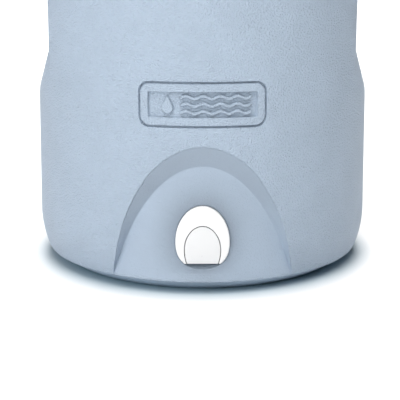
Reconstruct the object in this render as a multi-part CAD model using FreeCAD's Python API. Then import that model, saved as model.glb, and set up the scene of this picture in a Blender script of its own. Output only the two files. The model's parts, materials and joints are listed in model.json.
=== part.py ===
import FreeCAD, Part
import math
import os

# Insulated drinks jug with a screw lid, a folding bail handle and a recessed push-button tap.
# Frame: origin at the centre of the foot on the ground, +Z up, the tap faces -Y. Millimetres.

# ---- Outer shell ----
WALL = 3.0                      # wall of the moulded shell
FOOT_RADIUS = 115.4             # outer edge of the ring that rests on the ground
FOOT_INNER_RADIUS = 100.0
FOOT_PANEL_HEIGHT = 5.0         # the base panel is set up inside the foot ring
EDGE_RADIUS = 131.3             # sharp lower edge of the side wall
EDGE_HEIGHT = 10.2
BELLY_RADIUS = 136.6            # widest circle
BELLY_HEIGHT = 40.0
SHOULDER_RADIUS = 133.2         # top of the tapered side wall
SHOULDER_FILLET = 12.0
LEDGE_HEIGHT = 232.5            # flat ledge round the neck, where the bail lies
NECK_RADIUS = 99.0
NECK_TOP = 262.0
SEAM_HEIGHT = LEDGE_HEIGHT - SHOULDER_FILLET    # the shoulder starts and the collar sits here
COLLAR_LIP = 2.0                # lip inside the side wall that locates the collar
COLLAR_LIP_HEIGHT = 6.0
GAP = 0.1                       # gap between fitted pieces of one body
BARREL_HOLE_GAP = 0.3           # play of the tap's barrel in the holes of the shell and the tank
FOAM_TOP_GAP = 2.0              # the foam ends this far below the neck's top

# ---- Scoops at both sides, under the handle's ears ----
SCOOP_RADIUS = 190.0            # the scoop's floor is flatter than the body
SCOOP_START_HEIGHT = 139.5      # where the sloping floor leaves the side wall
SCOOP_START_X = 134.6
SCOOP_SLOPE_DEG = 15.6
SCOOP_TOP_X = 119.0             # the floor goes no deeper than this upright plane
SCOOP_BLOCK_WIDTH = 60.0        # the cutter's block, before the drum is taken out of it
SCOOP_BLOCK_BELOW = 40.0        # how far it reaches below the scoop's start

# ---- Arch recess at the front ----
ARCH_FOOT_HEIGHT = 13.0         # the arch's legs run straight down below this
ARCH_OUTER_HALF_WIDTH = 70.0    # measured along the wall
ARCH_OUTER_TOP = 115.0
ARCH_OUTER_POWER = 1.7
ARCH_INNER_HALF_WIDTH = 69.0
ARCH_INNER_TOP = 96.8
ARCH_INNER_POWER = 1.17
ARCH_FLOOR_RADIUS = 128.0
ARCH_FLARE_HEIGHT = 60.0        # below this the floor curves out to the lower edge
ARCH_LEG_GROW = 0.7             # how much wider the legs get for each millimetre of depth
FRONT_ROOM = 8.0                # the cutters of the recess and the tap start this far out
ARCH_BACK_Y = -101.0            # and the recess's ends here, behind the floor's round face
ARCH_CUTTER_LOW = -20.0
ARCH_CORE_LOW = -10.0           # the drum that leaves the floor standing
ARCH_CORE_TOP = 135.0
ARCH_STEP_DEG = 15

# ---- Tap ----
TAP_CENTRE_Z = 40.2             # height of the face's widest line
TAP_HALF_WIDTH = 20.4
TAP_UP = 27.8
TAP_DOWN = 20.9
TAP_LOWER_POWER = 2.3           # the lower half is fuller than an ellipse
TAP_CUT_Z = 23.8                # flat lower edge of the face and of the button
TAP_FACE_Y = -128.6
TAP_PLATE = 3.2
POCKET_FLOOR_Y = -111.5
BUTTON_CENTRE_Z = 34.3
BUTTON_HALF_WIDTH = 13.4
BUTTON_UP = 18.3
BUTTON_DOWN = 21.0
BUTTON_GAP = 0.45
BUTTON_PROUD = 0.6
BUTTON_CAP = 2.8
BUTTON_WALL = 1.8
BUTTON_SKIRT = 4.0
BUTTON_HUB_RADIUS = 4.6
FACE_GAP = 0.1                  # between the face's edge and the pocket
CHAMBER_INSET = 0.8             # the chamber is this much smaller than the face
CHAMBER_WALL = 2.0
BACK_WALL = 2.0
BARREL_Z = 41.0
BARREL_RADIUS = 10.5
BARREL_BORE = 7.5
BARREL_END_Y = -93.0
STEM_RADIUS = 2.0
STEM_END_Y = -87.0
STEM_GUIDE_WALL = 2.0
STEM_GUIDE_LENGTH = 11.0
SPOKE_COUNT = 3
SPOKE_WIDTH = 2.0
SPOKE_DEPTH = 3.0
SEAL_RADIUS = 9.2
SEAL_THICKNESS = 2.5
CLIP_RADIUS = 5.5
CLIP_THICKNESS = 1.4
OUTER_GASKET_RADIUS = 15.0
OUTER_GASKET = 1.5              # its thickness
INNER_GASKET_RADIUS = 13.4
NUT_START_Y = -98.8
NUT_THICKNESS = 5.0
NUT_ACROSS_FLATS = 27.0
NUT_SIDES = 6
SPRING_WIRE = 0.9
SPRING_RADIUS = 6.1
SPRING_TURNS = 4.0

# ---- Tank liner ----
LINER_WALL = 2.5
TANK_RADIUS = 102.0
TANK_FLOOR = 21.0
TANK_FILLET = 6.0
TANK_TOP = 213.0                # top of the tank's straight side
TANK_NECK_RADIUS = 93.3
TANK_NECK_HEIGHT = 228.0
FLANGE_THICKNESS = 2.5
FLANGE_RADIUS = 99.5
LID_SEAL_INNER = 94.2           # the ring seal between the flange and the lid
LID_SEAL_OUTER = 98.6

# ---- Lid ----
LID_RADIUS = 107.5
LID_SKIRT_BOTTOM = 236.0
LID_SKIRT_INNER = 102.6
LID_SHOULDER_HEIGHT = 278.0
LID_CROWN_RADIUS = 96.0
LID_CROWN_HEIGHT = 289.0
LID_RIM_HEIGHT = 292.0
LID_RIM_WIDTH = 8.0
LID_RIM_SLOPE = 2.0             # run of the rim's sloping sides
LID_EDGE_CUT = 2.0              # the bevel between the skirt and the crown
LID_TOP_HEIGHT = 286.0
LID_WALL = 3.0
LID_PLUG_RADIUS = 92.5
LID_PLUG_BOTTOM = 252.0
LID_FLANGE_BOTTOM = 265.8
LID_LINER_WALL = 2.5
LID_PLUG_BEVEL = 4.0            # lower corner of the cup that drops into the neck
LID_CUP_CORNER = 3.0            # the same corner inside
GRIP_FLUTES = 36
GRIP_FLUTE_RADIUS = 3.2
GRIP_FLUTE_DEPTH = 1.3
GRIP_FLUTE_TOP = 269.0

# ---- Screw lugs: four on the neck, four in the lid ----
LUG_COUNT = 4
LUG_LEAD = 40.0                 # rise of the lid in one whole turn
LUG_ARC_DEG = 40.0
LUG_HEIGHT = 4.0
LUG_REACH = 3.0
LUG_Z = 250.0                   # underside of a neck lug at its low end
LUG_SEAT_GAP = 0.4

# ---- Bail handle ----
PIVOT_Z = 240.0
ARM_X = 124.0                   # middle of each arm
ARM_THICKNESS = 9.0
ARM_HEIGHT = 14.0
ARM_STRAIGHT = 18.0
CORNER_RADIUS = 95.0
BAIL_REACH = 126.0              # from the pivot to the middle of the bar
GRIP_THICKNESS = 14.0
GRIP_HEIGHT = 14.6
GRIP_ANGLE_DEG = 24.0
SECTION_ROUND = 3.5
EYE_RADIUS = 11.5
PIN_RADIUS = 4.0
PIN_GAP = 0.05
PIN_HEAD_RADIUS = 8.0
PIN_HEAD = 2.4
PIN_BARB_RADIUS = 5.4
PIN_BARB = 1.6
EAR_INNER_X = 112.0
EAR_OUTER_X = 118.6
EAR_HALF_WIDTH = 12.0
PIN_HEAD_GAP = 0.3
PIN_BARB_GAP = 0.2

# ---- Foam filling plugs ----
BASE_PLUG_RADIUS = 12.0
LID_PLUG_HOLE_RADIUS = 8.0
PLUG_HEAD = 1.5
PLUG_HEAD_LAP = 2.0             # how far the head reaches past its hole
PLUG_THROUGH = 1.0              # how far the lid's plug stands up through the liner
PLUG_HOLLOW_DEPTH = 6.0         # hollow in the lid's foam over the plug
PLUG_HOLLOW_GAP = 1.0

# ---- Places that follow from the sizes above ----
BUTTON_FRONT_Y = TAP_FACE_Y - BUTTON_PROUD
TAP_BACK_Y = POCKET_FLOOR_Y - OUTER_GASKET - BACK_WALL      # front of the housing's back wall
SEAL_Y = BARREL_END_Y + GAP / 2
BEYOND = 1.0                    # how far a cutter runs past what it cuts
BITE = 0.5                      # how far a lug or rib reaches into the wall it is moulded on
OVAL_STEP_DEG = 10
SHOULDER_CENTRE = (SHOULDER_RADIUS - SHOULDER_FILLET, SEAM_HEIGHT)
LID_RIM_OUTER = LID_CROWN_RADIUS - LID_RIM_SLOPE
LID_RIM_INNER = LID_RIM_OUTER - LID_RIM_WIDTH

ORIGIN = FreeCAD.Vector(0, 0, 0)
X_AXIS = FreeCAD.Vector(1, 0, 0)
Y_AXIS = FreeCAD.Vector(0, 1, 0)
Z_AXIS = FreeCAD.Vector(0, 0, 1)


# ---------------------------------------------------------------- helpers

def vec(x, y, z):
    return FreeCAD.Vector(x, y, z)


def half_section(start, *steps):
    """A closed face in the XZ plane. A step is (x, z), or ((x, z) on the way, (x, z)) for an arc."""
    edges = []
    here = vec(start[0], 0, start[1])
    for step in steps + (start,):
        if isinstance(step[0], tuple):
            middle, end = step
            there = vec(end[0], 0, end[1])
            edges.append(Part.Arc(here, vec(middle[0], 0, middle[1]), there).toShape())
        else:
            there = vec(step[0], 0, step[1])
            if here.distanceToPoint(there) > 1e-6:
                edges.append(Part.makeLine(here, there))
        here = there
    return Part.Face(Part.Wire(edges))


def turned(start, *steps):
    """The solid that a half section makes round the Z axis."""
    return half_section(start, *steps).revolve(ORIGIN, Z_AXIS, 360)


def on_arc(centre, radius, angle_deg):
    """A point (x, z) on a circle in the half-section plane."""
    angle = math.radians(angle_deg)
    return (centre[0] + radius * math.cos(angle), centre[1] + radius * math.sin(angle))


def along_y(radius, y_start, y_end, z):
    """A round bar along Y at height z."""
    return Part.makeCylinder(radius, y_end - y_start, vec(0, y_start, z), Y_AXIS)


def along_x(radius, x_start, x_end, z):
    """A round bar along X at height z."""
    low, high = sorted((x_start, x_end))
    return Part.makeCylinder(radius, high - low, vec(low, 0, z), X_AXIS)


def oval_prism(half_width, up, down, centre_z, y_start, y_end, lower_power=2.0):
    """A prism along Y: half an ellipse above its widest line, and a fuller half oval below it."""
    points = []
    for degrees in range(0, 360, OVAL_STEP_DEG):
        across = math.cos(math.radians(degrees))
        lift = math.sin(math.radians(degrees))
        power = 2.0 if lift >= 0 else lower_power
        height = up if lift >= 0 else down
        x = math.copysign(half_width * abs(across) ** (2 / power), across)
        z = math.copysign(height * abs(lift) ** (2 / power), lift)
        points.append(vec(x, y_start, centre_z + z))
    curve = Part.BSplineCurve()
    curve.interpolate(points, PeriodicFlag=True)
    face = Part.Face(Part.Wire(curve.toShape()))
    return face.extrude(vec(0, y_end - y_start, 0))


def above(z):
    """A large block with its underside at height z."""
    size = 4 * BELLY_RADIUS
    return Part.makeBox(size, size, size, vec(-size / 2, -size / 2, z))


def mirrored(shape):
    return shape.mirror(ORIGIN, X_AXIS)


# ---------------------------------------------------------------- body shape

def wall_radius(z):
    """Radius of the tapered side wall at a height above the belly."""
    rise = (z - BELLY_HEIGHT) / (SEAM_HEIGHT - BELLY_HEIGHT)
    return BELLY_RADIUS + (SHOULDER_RADIUS - BELLY_RADIUS) * rise


def belly_arc(inset):
    """Middle and end of the arc from the lower edge to the belly, moved in by an inset."""
    drop = BELLY_HEIGHT - EDGE_HEIGHT
    set_in = BELLY_RADIUS - EDGE_RADIUS
    radius = (drop ** 2 + set_in ** 2) / (2 * set_in)
    centre = (BELLY_RADIUS - radius, BELLY_HEIGHT)
    half = math.degrees(math.asin(drop / radius)) / 2
    return on_arc(centre, radius - inset, -half), (BELLY_RADIUS - inset, BELLY_HEIGHT)


def plain_body():
    """The outer shape before the scoops, the arch and the tap's pocket are taken out."""
    return turned(
        (0, FOOT_PANEL_HEIGHT),
        (FOOT_INNER_RADIUS - FOOT_PANEL_HEIGHT, FOOT_PANEL_HEIGHT),
        (FOOT_INNER_RADIUS, 0),
        (FOOT_RADIUS, 0),
        (EDGE_RADIUS, EDGE_HEIGHT),
        belly_arc(0),
        (SHOULDER_RADIUS, SEAM_HEIGHT),
        (on_arc(SHOULDER_CENTRE, SHOULDER_FILLET, 45), on_arc(SHOULDER_CENTRE, SHOULDER_FILLET, 90)),
        (NECK_RADIUS, LEDGE_HEIGHT),
        (NECK_RADIUS, NECK_TOP),
        (0, NECK_TOP),
    )


def plain_inside(inset):
    """The shell's hollow, and the foam's outer shape where inset is more than the wall."""
    radius = SHOULDER_FILLET - inset
    neck = NECK_RADIUS - inset
    return turned(
        (0, FOOT_PANEL_HEIGHT + inset),
        (FOOT_INNER_RADIUS - FOOT_PANEL_HEIGHT, FOOT_PANEL_HEIGHT + inset),
        (FOOT_INNER_RADIUS, inset),
        (FOOT_RADIUS, inset),
        (EDGE_RADIUS - inset, EDGE_HEIGHT + inset / 2),
        belly_arc(inset),
        (SHOULDER_RADIUS - inset, SEAM_HEIGHT),
        (on_arc(SHOULDER_CENTRE, radius, 45), on_arc(SHOULDER_CENTRE, radius, 90)),
        (neck, LEDGE_HEIGHT - inset),
        (neck, NECK_TOP + BEYOND),
        (0, NECK_TOP + BEYOND),
    )


def scoop(side, grow):
    """What a side scoop takes away: everything outside a leaning drum and an upright plane."""
    length = 4 * LEDGE_HEIGHT
    lean = math.radians(SCOOP_SLOPE_DEG)
    direction = vec(-math.sin(lean), 0, math.cos(lean))
    surface = vec(SCOOP_START_X, 0, SCOOP_START_HEIGHT)
    to_axis = vec(-math.cos(lean), 0, -math.sin(lean)) * SCOOP_RADIUS
    start = surface + to_axis - direction * (length / 2)
    leaning = Part.makeCylinder(SCOOP_RADIUS - grow, length, start, direction)
    low = SCOOP_START_HEIGHT - SCOOP_BLOCK_BELOW
    height = LEDGE_HEIGHT + BEYOND - low
    corner = vec(SCOOP_TOP_X - grow, -BELLY_RADIUS, low)
    block = Part.makeBox(SCOOP_BLOCK_WIDTH, 2 * BELLY_RADIUS, height, corner)
    cutter = block.cut(leaning)
    return cutter if side > 0 else mirrored(cutter)


def arch_lines(grow):
    """Pairs of points on the recess's outer and inner edges, from one leg over to the other.

    grow makes the recess that much deeper, and its legs a little wider, for the wall behind it.
    """
    wider = ARCH_LEG_GROW * grow
    outer_rise = ARCH_OUTER_TOP - ARCH_FOOT_HEIGHT
    inner_rise = ARCH_INNER_TOP - ARCH_FOOT_HEIGHT
    pairs = []
    for degrees in range(0, 181, ARCH_STEP_DEG):
        across = math.cos(math.radians(degrees))
        lift = math.sin(math.radians(degrees))
        outer_s = (ARCH_OUTER_HALF_WIDTH + wider) * across
        inner_s = (ARCH_INNER_HALF_WIDTH + wider) * across
        outer_z = ARCH_FOOT_HEIGHT + outer_rise * lift ** (2 / ARCH_OUTER_POWER)
        inner_z = ARCH_FOOT_HEIGHT + inner_rise * lift ** (2 / ARCH_INNER_POWER)
        pairs.append((on_wall(outer_s, outer_z, wall_radius(outer_z) - grow),
                      on_wall(inner_s, inner_z, ARCH_FLOOR_RADIUS - grow)))
    return pairs


def on_wall(along, z, radius):
    """The point at a distance along a round wall from the front line."""
    angle = along / radius
    return vec(radius * math.sin(angle), -radius * math.cos(angle), z)


def arch_recess(grow):
    """A ruled prism through both edges of the arch, down to a floor that flares at the bottom."""
    pairs = arch_lines(grow)
    even_steps = [i / (len(pairs) - 1) for i in range(len(pairs))]
    wires = []
    for y in (-BELLY_RADIUS - FRONT_ROOM, ARCH_BACK_Y):
        points = []
        for outer, inner in pairs:
            t = (y - outer.y) / (inner.y - outer.y)
            points.append(outer + (inner - outer) * t)
        curve = Part.BSplineCurve()
        curve.interpolate(Points=points, Parameters=even_steps)
        first, last = points[0], points[-1]
        legs = [last, vec(last.x, y, ARCH_CUTTER_LOW), vec(first.x, y, ARCH_CUTTER_LOW), first]
        edges = [curve.toShape()]
        edges += [Part.makeLine(a, b) for a, b in zip(legs, legs[1:])]
        wires.append(Part.Wire(edges))
    prism = Part.makeLoft(wires, True, True)
    radius = ARCH_FLOOR_RADIUS - grow
    flare = EDGE_RADIUS - ARCH_FLOOR_RADIUS
    halfway = (ARCH_FLARE_HEIGHT + EDGE_HEIGHT) / 2
    core = turned(
        (0, ARCH_CORE_LOW),
        (radius + flare, ARCH_CORE_LOW),
        (radius + flare, EDGE_HEIGHT),
        ((radius + flare / 4, halfway), (radius, ARCH_FLARE_HEIGHT)),
        (radius, ARCH_CORE_TOP),
        (0, ARCH_CORE_TOP),
    )
    return prism.cut(core)


def tap_pocket(grow):
    """The egg-shaped pocket that the tap sits in."""
    return oval_prism(
        TAP_HALF_WIDTH + GAP + grow, TAP_UP + GAP + grow, TAP_DOWN + GAP + grow,
        TAP_CENTRE_Z, -BELLY_RADIUS - FRONT_ROOM, POCKET_FLOOR_Y + grow, TAP_LOWER_POWER,
    )


def shell_hollow(inset):
    hollow = plain_inside(inset)
    for side in (1, -1):
        hollow = hollow.cut(scoop(side, inset))
    return hollow.cut(arch_recess(inset)).cut(tap_pocket(inset))


def ear(side):
    """An upright ear on the ledge that carries one end of the bail."""
    low_x = EAR_INNER_X if side > 0 else -EAR_OUTER_X
    thickness = EAR_OUTER_X - EAR_INNER_X
    root_z = LEDGE_HEIGHT - BEYOND
    corner = vec(low_x, -EAR_HALF_WIDTH, root_z)
    block = Part.makeBox(thickness, 2 * EAR_HALF_WIDTH, PIVOT_Z - root_z, corner)
    top = along_x(EAR_HALF_WIDTH, low_x, low_x + thickness, PIVOT_Z)
    top = top.common(above(root_z))
    hole = along_x(PIN_RADIUS + PIN_GAP, low_x - BEYOND, low_x + thickness + BEYOND, PIVOT_Z)
    return block.fuse(top).cut(hole)


def lug(inner_radius, outer_radius, low_z, start_deg):
    """A screw lug: a bar that climbs round the Z axis at the thread's lead."""
    climb = LUG_LEAD * LUG_ARC_DEG / 360
    middle_radius = (inner_radius + outer_radius) / 2
    path = Part.makeHelix(LUG_LEAD, climb, middle_radius)
    half = (outer_radius - inner_radius) / 2
    corners = [
        vec(middle_radius - half, 0, 0), vec(middle_radius + half, 0, 0),
        vec(middle_radius + half, 0, LUG_HEIGHT), vec(middle_radius - half, 0, LUG_HEIGHT),
    ]
    section = Part.makePolygon(corners + corners[:1])
    bar = Part.Wire(path).makePipeShell([section], True, True)
    bar.translate(vec(0, 0, low_z))
    bar.rotate(ORIGIN, Z_AXIS, start_deg)
    return bar


def lug_ring(inner_radius, outer_radius, low_z, first_deg):
    step = 360 / LUG_COUNT
    return [lug(inner_radius, outer_radius, low_z, first_deg + step * i) for i in range(LUG_COUNT)]


def whole_shell():
    """The moulded wall all over, before it is parted at the seam."""
    body = plain_body()
    for side in (1, -1):
        body = body.cut(scoop(side, 0))
    body = body.cut(arch_recess(0)).cut(tap_pocket(0))
    return body.cut(shell_hollow(WALL))


def outer_shell():
    """The cup: side wall, base and foot ring, open at the top."""
    shell = WHOLE_SHELL.cut(above(SEAM_HEIGHT))
    hole_end = POCKET_FLOOR_Y + 2 * WALL
    shell = shell.cut(along_y(BARREL_RADIUS + BARREL_HOLE_GAP, POCKET_FLOOR_Y - BEYOND, hole_end, BARREL_Z))
    shell = shell.cut(Part.makeCylinder(BASE_PLUG_RADIUS + GAP, FOOT_PANEL_HEIGHT + 2 * WALL))
    return shell.removeSplitter()


def collar_lip():
    """A thin band just inside the top of the side wall, joined to the collar above the seam."""
    inside = shell_hollow(WALL + GAP + COLLAR_LIP)
    hanging = shell_hollow(WALL + GAP).cut(inside).common(above(SEAM_HEIGHT - COLLAR_LIP_HEIGHT))
    hanging = hanging.cut(above(SEAM_HEIGHT + WALL))
    joint = shell_hollow(WALL - BITE).cut(inside).common(above(SEAM_HEIGHT + GAP))
    joint = joint.cut(above(SEAM_HEIGHT + WALL))
    return hanging.fuse(joint).removeSplitter()


def neck_collar():
    """The shoulder, ledge and neck in one ring, with the bail's ears and the screw lugs."""
    collar = WHOLE_SHELL.common(above(SEAM_HEIGHT + GAP)).fuse(COLLAR_LIP_BAND)
    for side in (1, -1):
        collar = collar.fuse(ear(side))
    lugs = lug_ring(NECK_RADIUS - BITE, NECK_RADIUS + LUG_REACH, LUG_Z, 0)
    return collar.fuse(lugs).removeSplitter()


# ---------------------------------------------------------------- tank and foam

def tank_solid(wall, top):
    """The tank's inner space (wall 0) or its outer shape, up to a height."""
    radius = TANK_RADIUS + wall
    floor = TANK_FLOOR - wall
    fillet = TANK_FILLET + wall
    centre = (radius - fillet, floor + fillet)
    neck = TANK_NECK_RADIUS + wall
    return turned(
        (0, floor),
        (centre[0], floor),
        (on_arc(centre, fillet, -45), (radius, centre[1])),
        (radius, TANK_TOP + wall / 2),
        (neck, TANK_NECK_HEIGHT),
        (neck, top),
        (0, top),
    )


def inner_liner():
    """The tank: a bottle with a wide neck, a flange over the shell's neck and a hole for the tap."""
    flange = turned(
        (TANK_NECK_RADIUS - BEYOND, NECK_TOP + GAP),
        (FLANGE_RADIUS, NECK_TOP + GAP),
        (FLANGE_RADIUS, NECK_TOP + FLANGE_THICKNESS),
        (TANK_NECK_RADIUS - BEYOND, NECK_TOP + FLANGE_THICKNESS),
    )
    top = NECK_TOP + FLANGE_THICKNESS
    liner = tank_solid(LINER_WALL, top).fuse(flange).cut(tank_solid(0, top + BEYOND))
    hole = along_y(BARREL_RADIUS + BARREL_HOLE_GAP, -BELLY_RADIUS, BARREL_END_Y, BARREL_Z)
    return liner.cut(hole).removeSplitter()


def insulation_foam():
    """What is poured between the shell and the tank, without the slivers that the lip cuts off."""
    foam = shell_hollow(WALL + GAP).cut(above(NECK_TOP - FOAM_TOP_GAP))
    foam = foam.cut(tank_solid(LINER_WALL + GAP, NECK_TOP))
    foam = foam.cut(COLLAR_LIP_BAND)
    foam = foam.cut(along_y(BARREL_RADIUS + 2 * BARREL_HOLE_GAP, -BELLY_RADIUS, BARREL_END_Y, BARREL_Z))
    plug_top = FOOT_PANEL_HEIGHT + 2 * WALL + GAP
    foam = foam.cut(Part.makeCylinder(BASE_PLUG_RADIUS + PLUG_HEAD_LAP + GAP, plug_top))
    return max(foam.Solids, key=lambda solid: solid.Volume)


def plug(radius, hole_height, low_z):
    """A push-in plug: a wide thin head below the panel and a stub through the hole."""
    head = Part.makeCylinder(radius + PLUG_HEAD_LAP, PLUG_HEAD, vec(0, 0, low_z - PLUG_HEAD - GAP))
    stub = Part.makeCylinder(radius, hole_height + PLUG_HEAD, vec(0, 0, low_z - PLUG_HEAD - GAP))
    return head.fuse(stub).removeSplitter()


def foam_fill_plug():
    return plug(BASE_PLUG_RADIUS, 2 * WALL, FOOT_PANEL_HEIGHT)


# ---------------------------------------------------------------- tap

def tap_face_outline(shrink, y_start, y_end):
    egg = oval_prism(
        TAP_HALF_WIDTH - shrink, TAP_UP - shrink, TAP_DOWN - shrink,
        TAP_CENTRE_Z, y_start, y_end, TAP_LOWER_POWER,
    )
    return egg.common(above(TAP_CUT_Z))


def button_outline(grow, y_start, y_end):
    oval = oval_prism(
        BUTTON_HALF_WIDTH + grow, BUTTON_UP + grow, BUTTON_DOWN + grow,
        BUTTON_CENTRE_Z, y_start, y_end,
    )
    return oval.common(above(TAP_CUT_Z)) if grow <= 0 else oval


def faucet_housing():
    """Face plate, chamber that is open below as the spout, spider with stem guide, and barrel."""
    plate_back = TAP_FACE_Y + TAP_PLATE
    plate = tap_face_outline(FACE_GAP, TAP_FACE_Y, plate_back)
    plate = plate.cut(button_outline(BUTTON_GAP, TAP_FACE_Y - BEYOND, plate_back + BEYOND))
    chamber = tap_face_outline(CHAMBER_INSET, plate_back, TAP_BACK_Y)
    inside = CHAMBER_INSET + CHAMBER_WALL
    chamber = chamber.cut(tap_face_outline(inside, plate_back - BEYOND, TAP_BACK_Y + BEYOND))
    chamber = chamber.cut(button_outline(BUTTON_GAP, plate_back - BEYOND, TAP_BACK_Y))
    back_end = TAP_BACK_Y + BACK_WALL
    back = tap_face_outline(CHAMBER_INSET, TAP_BACK_Y, back_end)
    barrel = along_y(BARREL_RADIUS, back_end - BITE, BARREL_END_Y, BARREL_Z)
    bore = along_y(BARREL_BORE, TAP_BACK_Y - BEYOND, BARREL_END_Y + BEYOND, BARREL_Z)
    housing = plate.fuse([chamber, back, barrel]).cut(bore)
    guide_end = TAP_BACK_Y + STEM_GUIDE_LENGTH
    guide = along_y(STEM_RADIUS + STEM_GUIDE_WALL, TAP_BACK_Y, guide_end, BARREL_Z)
    spokes = []
    for i in range(SPOKE_COUNT):
        corner = vec(BITE, TAP_BACK_Y, BARREL_Z - SPOKE_WIDTH / 2)
        spoke = Part.makeBox(BARREL_BORE, SPOKE_DEPTH, SPOKE_WIDTH, corner)
        spoke.rotate(vec(0, 0, BARREL_Z), Y_AXIS, 90 + 360 / SPOKE_COUNT * i)
        spokes.append(spoke)
    housing = housing.fuse([guide] + spokes)
    stem_hole = along_y(STEM_RADIUS + PIN_GAP, TAP_BACK_Y - BEYOND, guide_end + BEYOND, BARREL_Z)
    return housing.cut(stem_hole).removeSplitter()


def ring_along_y(outer_radius, inner_radius, y_start, y_end):
    ring = along_y(outer_radius, y_start, y_end, BARREL_Z)
    return ring.cut(along_y(inner_radius, y_start - BEYOND, y_end + BEYOND, BARREL_Z))


def faucet_outer_gasket():
    start = POCKET_FLOOR_Y - OUTER_GASKET
    return ring_along_y(OUTER_GASKET_RADIUS, BARREL_RADIUS + GAP, start, POCKET_FLOOR_Y)


def faucet_inner_gasket():
    """A soft washer whose outer side follows the tank's round wall."""
    ring = ring_along_y(INNER_GASKET_RADIUS, BARREL_RADIUS + GAP, -TANK_RADIUS - BEYOND, NUT_START_Y)
    tank = Part.makeCylinder(TANK_RADIUS - GAP, NECK_TOP)
    return ring.common(tank)


def faucet_nut():
    corner = NUT_ACROSS_FLATS / 2 / math.cos(math.pi / NUT_SIDES)
    points = []
    for i in range(NUT_SIDES + 1):
        angle = 2 * math.pi / NUT_SIDES * i
        points.append(vec(corner * math.cos(angle), NUT_START_Y, BARREL_Z + corner * math.sin(angle)))
    hexagon = Part.Face(Part.makePolygon(points)).extrude(vec(0, NUT_THICKNESS, 0))
    end = NUT_START_Y + NUT_THICKNESS + BEYOND
    return hexagon.cut(along_y(BARREL_RADIUS + GAP / 2, NUT_START_Y - BEYOND, end, BARREL_Z))


def faucet_button():
    cap_back = BUTTON_FRONT_Y + BUTTON_CAP
    skirt_end = cap_back + BUTTON_SKIRT
    button = button_outline(0, BUTTON_FRONT_Y, skirt_end)
    hollow = button_outline(-BUTTON_WALL, cap_back, skirt_end + BEYOND)
    hub = along_y(BUTTON_HUB_RADIUS, cap_back - BITE, skirt_end + BEYOND, BARREL_Z)
    socket = along_y(STEM_RADIUS + GAP / 2, cap_back, skirt_end + 2 * BEYOND, BARREL_Z)
    return button.cut(hollow).fuse(hub).cut(socket).removeSplitter()


def valve_stem():
    return along_y(STEM_RADIUS, BUTTON_FRONT_Y + BUTTON_CAP + GAP, STEM_END_Y, BARREL_Z)


def valve_seal():
    return ring_along_y(SEAL_RADIUS, STEM_RADIUS + GAP / 2, SEAL_Y, SEAL_Y + SEAL_THICKNESS)


def stem_clip():
    start = SEAL_Y + SEAL_THICKNESS + GAP / 2
    return ring_along_y(CLIP_RADIUS, STEM_RADIUS + GAP / 2, start, start + CLIP_THICKNESS)


def return_spring():
    """A compression coil between the button and the spider."""
    start = BUTTON_FRONT_Y + BUTTON_CAP + SPRING_WIRE / 2 + GAP
    length = TAP_BACK_Y - GAP - SPRING_WIRE / 2 - start
    path = Part.makeHelix(length / SPRING_TURNS, length, SPRING_RADIUS)
    circle = Part.Circle(vec(SPRING_RADIUS, 0, 0), Y_AXIS, SPRING_WIRE / 2)
    coil = Part.Wire(path).makePipeShell([Part.Wire(circle.toShape())], True, True)
    coil.rotate(ORIGIN, X_AXIS, -90)
    coil.translate(vec(0, start, BARREL_Z))
    return coil


# ---------------------------------------------------------------- lid

def lid_cover():
    """The lid's outer cup: fluted skirt, sloping crown, and a raised rim round a flat top."""
    cup = turned(
        (0, LID_TOP_HEIGHT),
        (LID_RIM_INNER - LID_RIM_SLOPE, LID_TOP_HEIGHT),
        (LID_RIM_INNER, LID_RIM_HEIGHT),
        (LID_RIM_OUTER, LID_RIM_HEIGHT),
        (LID_CROWN_RADIUS, LID_CROWN_HEIGHT),
        (LID_RADIUS - LID_EDGE_CUT, LID_SHOULDER_HEIGHT + LID_EDGE_CUT / 2),
        (LID_RADIUS, LID_SHOULDER_HEIGHT - LID_EDGE_CUT),
        (LID_RADIUS, LID_SKIRT_BOTTOM),
        (LID_SKIRT_INNER, LID_SKIRT_BOTTOM),
        (LID_SKIRT_INNER, LID_SHOULDER_HEIGHT - LID_EDGE_CUT),
        (LID_CROWN_RADIUS - LID_WALL, LID_CROWN_HEIGHT - LID_WALL),
        (LID_RIM_OUTER - LID_WALL, LID_RIM_HEIGHT - LID_WALL),
        (LID_RIM_INNER + LID_RIM_SLOPE / 2, LID_RIM_HEIGHT - LID_WALL),
        (LID_RIM_INNER - LID_RIM_SLOPE, LID_TOP_HEIGHT - LID_WALL),
        (0, LID_TOP_HEIGHT - LID_WALL),
    )
    flutes = []
    low = LID_SKIRT_BOTTOM - BEYOND
    centre = LID_RADIUS + GRIP_FLUTE_RADIUS - GRIP_FLUTE_DEPTH
    for i in range(GRIP_FLUTES):
        flute = Part.makeCylinder(GRIP_FLUTE_RADIUS, GRIP_FLUTE_TOP - low, vec(centre, 0, low))
        flute.rotate(ORIGIN, Z_AXIS, 360 / GRIP_FLUTES * i)
        flutes.append(flute)
    cup = cup.cut(flutes)
    low_z = LUG_Z - LUG_HEIGHT - LUG_SEAT_GAP
    lugs = lug_ring(LID_SKIRT_INNER - LUG_REACH, LID_SKIRT_INNER + BITE, low_z, 0)
    return cup.fuse(lugs).removeSplitter()


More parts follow.
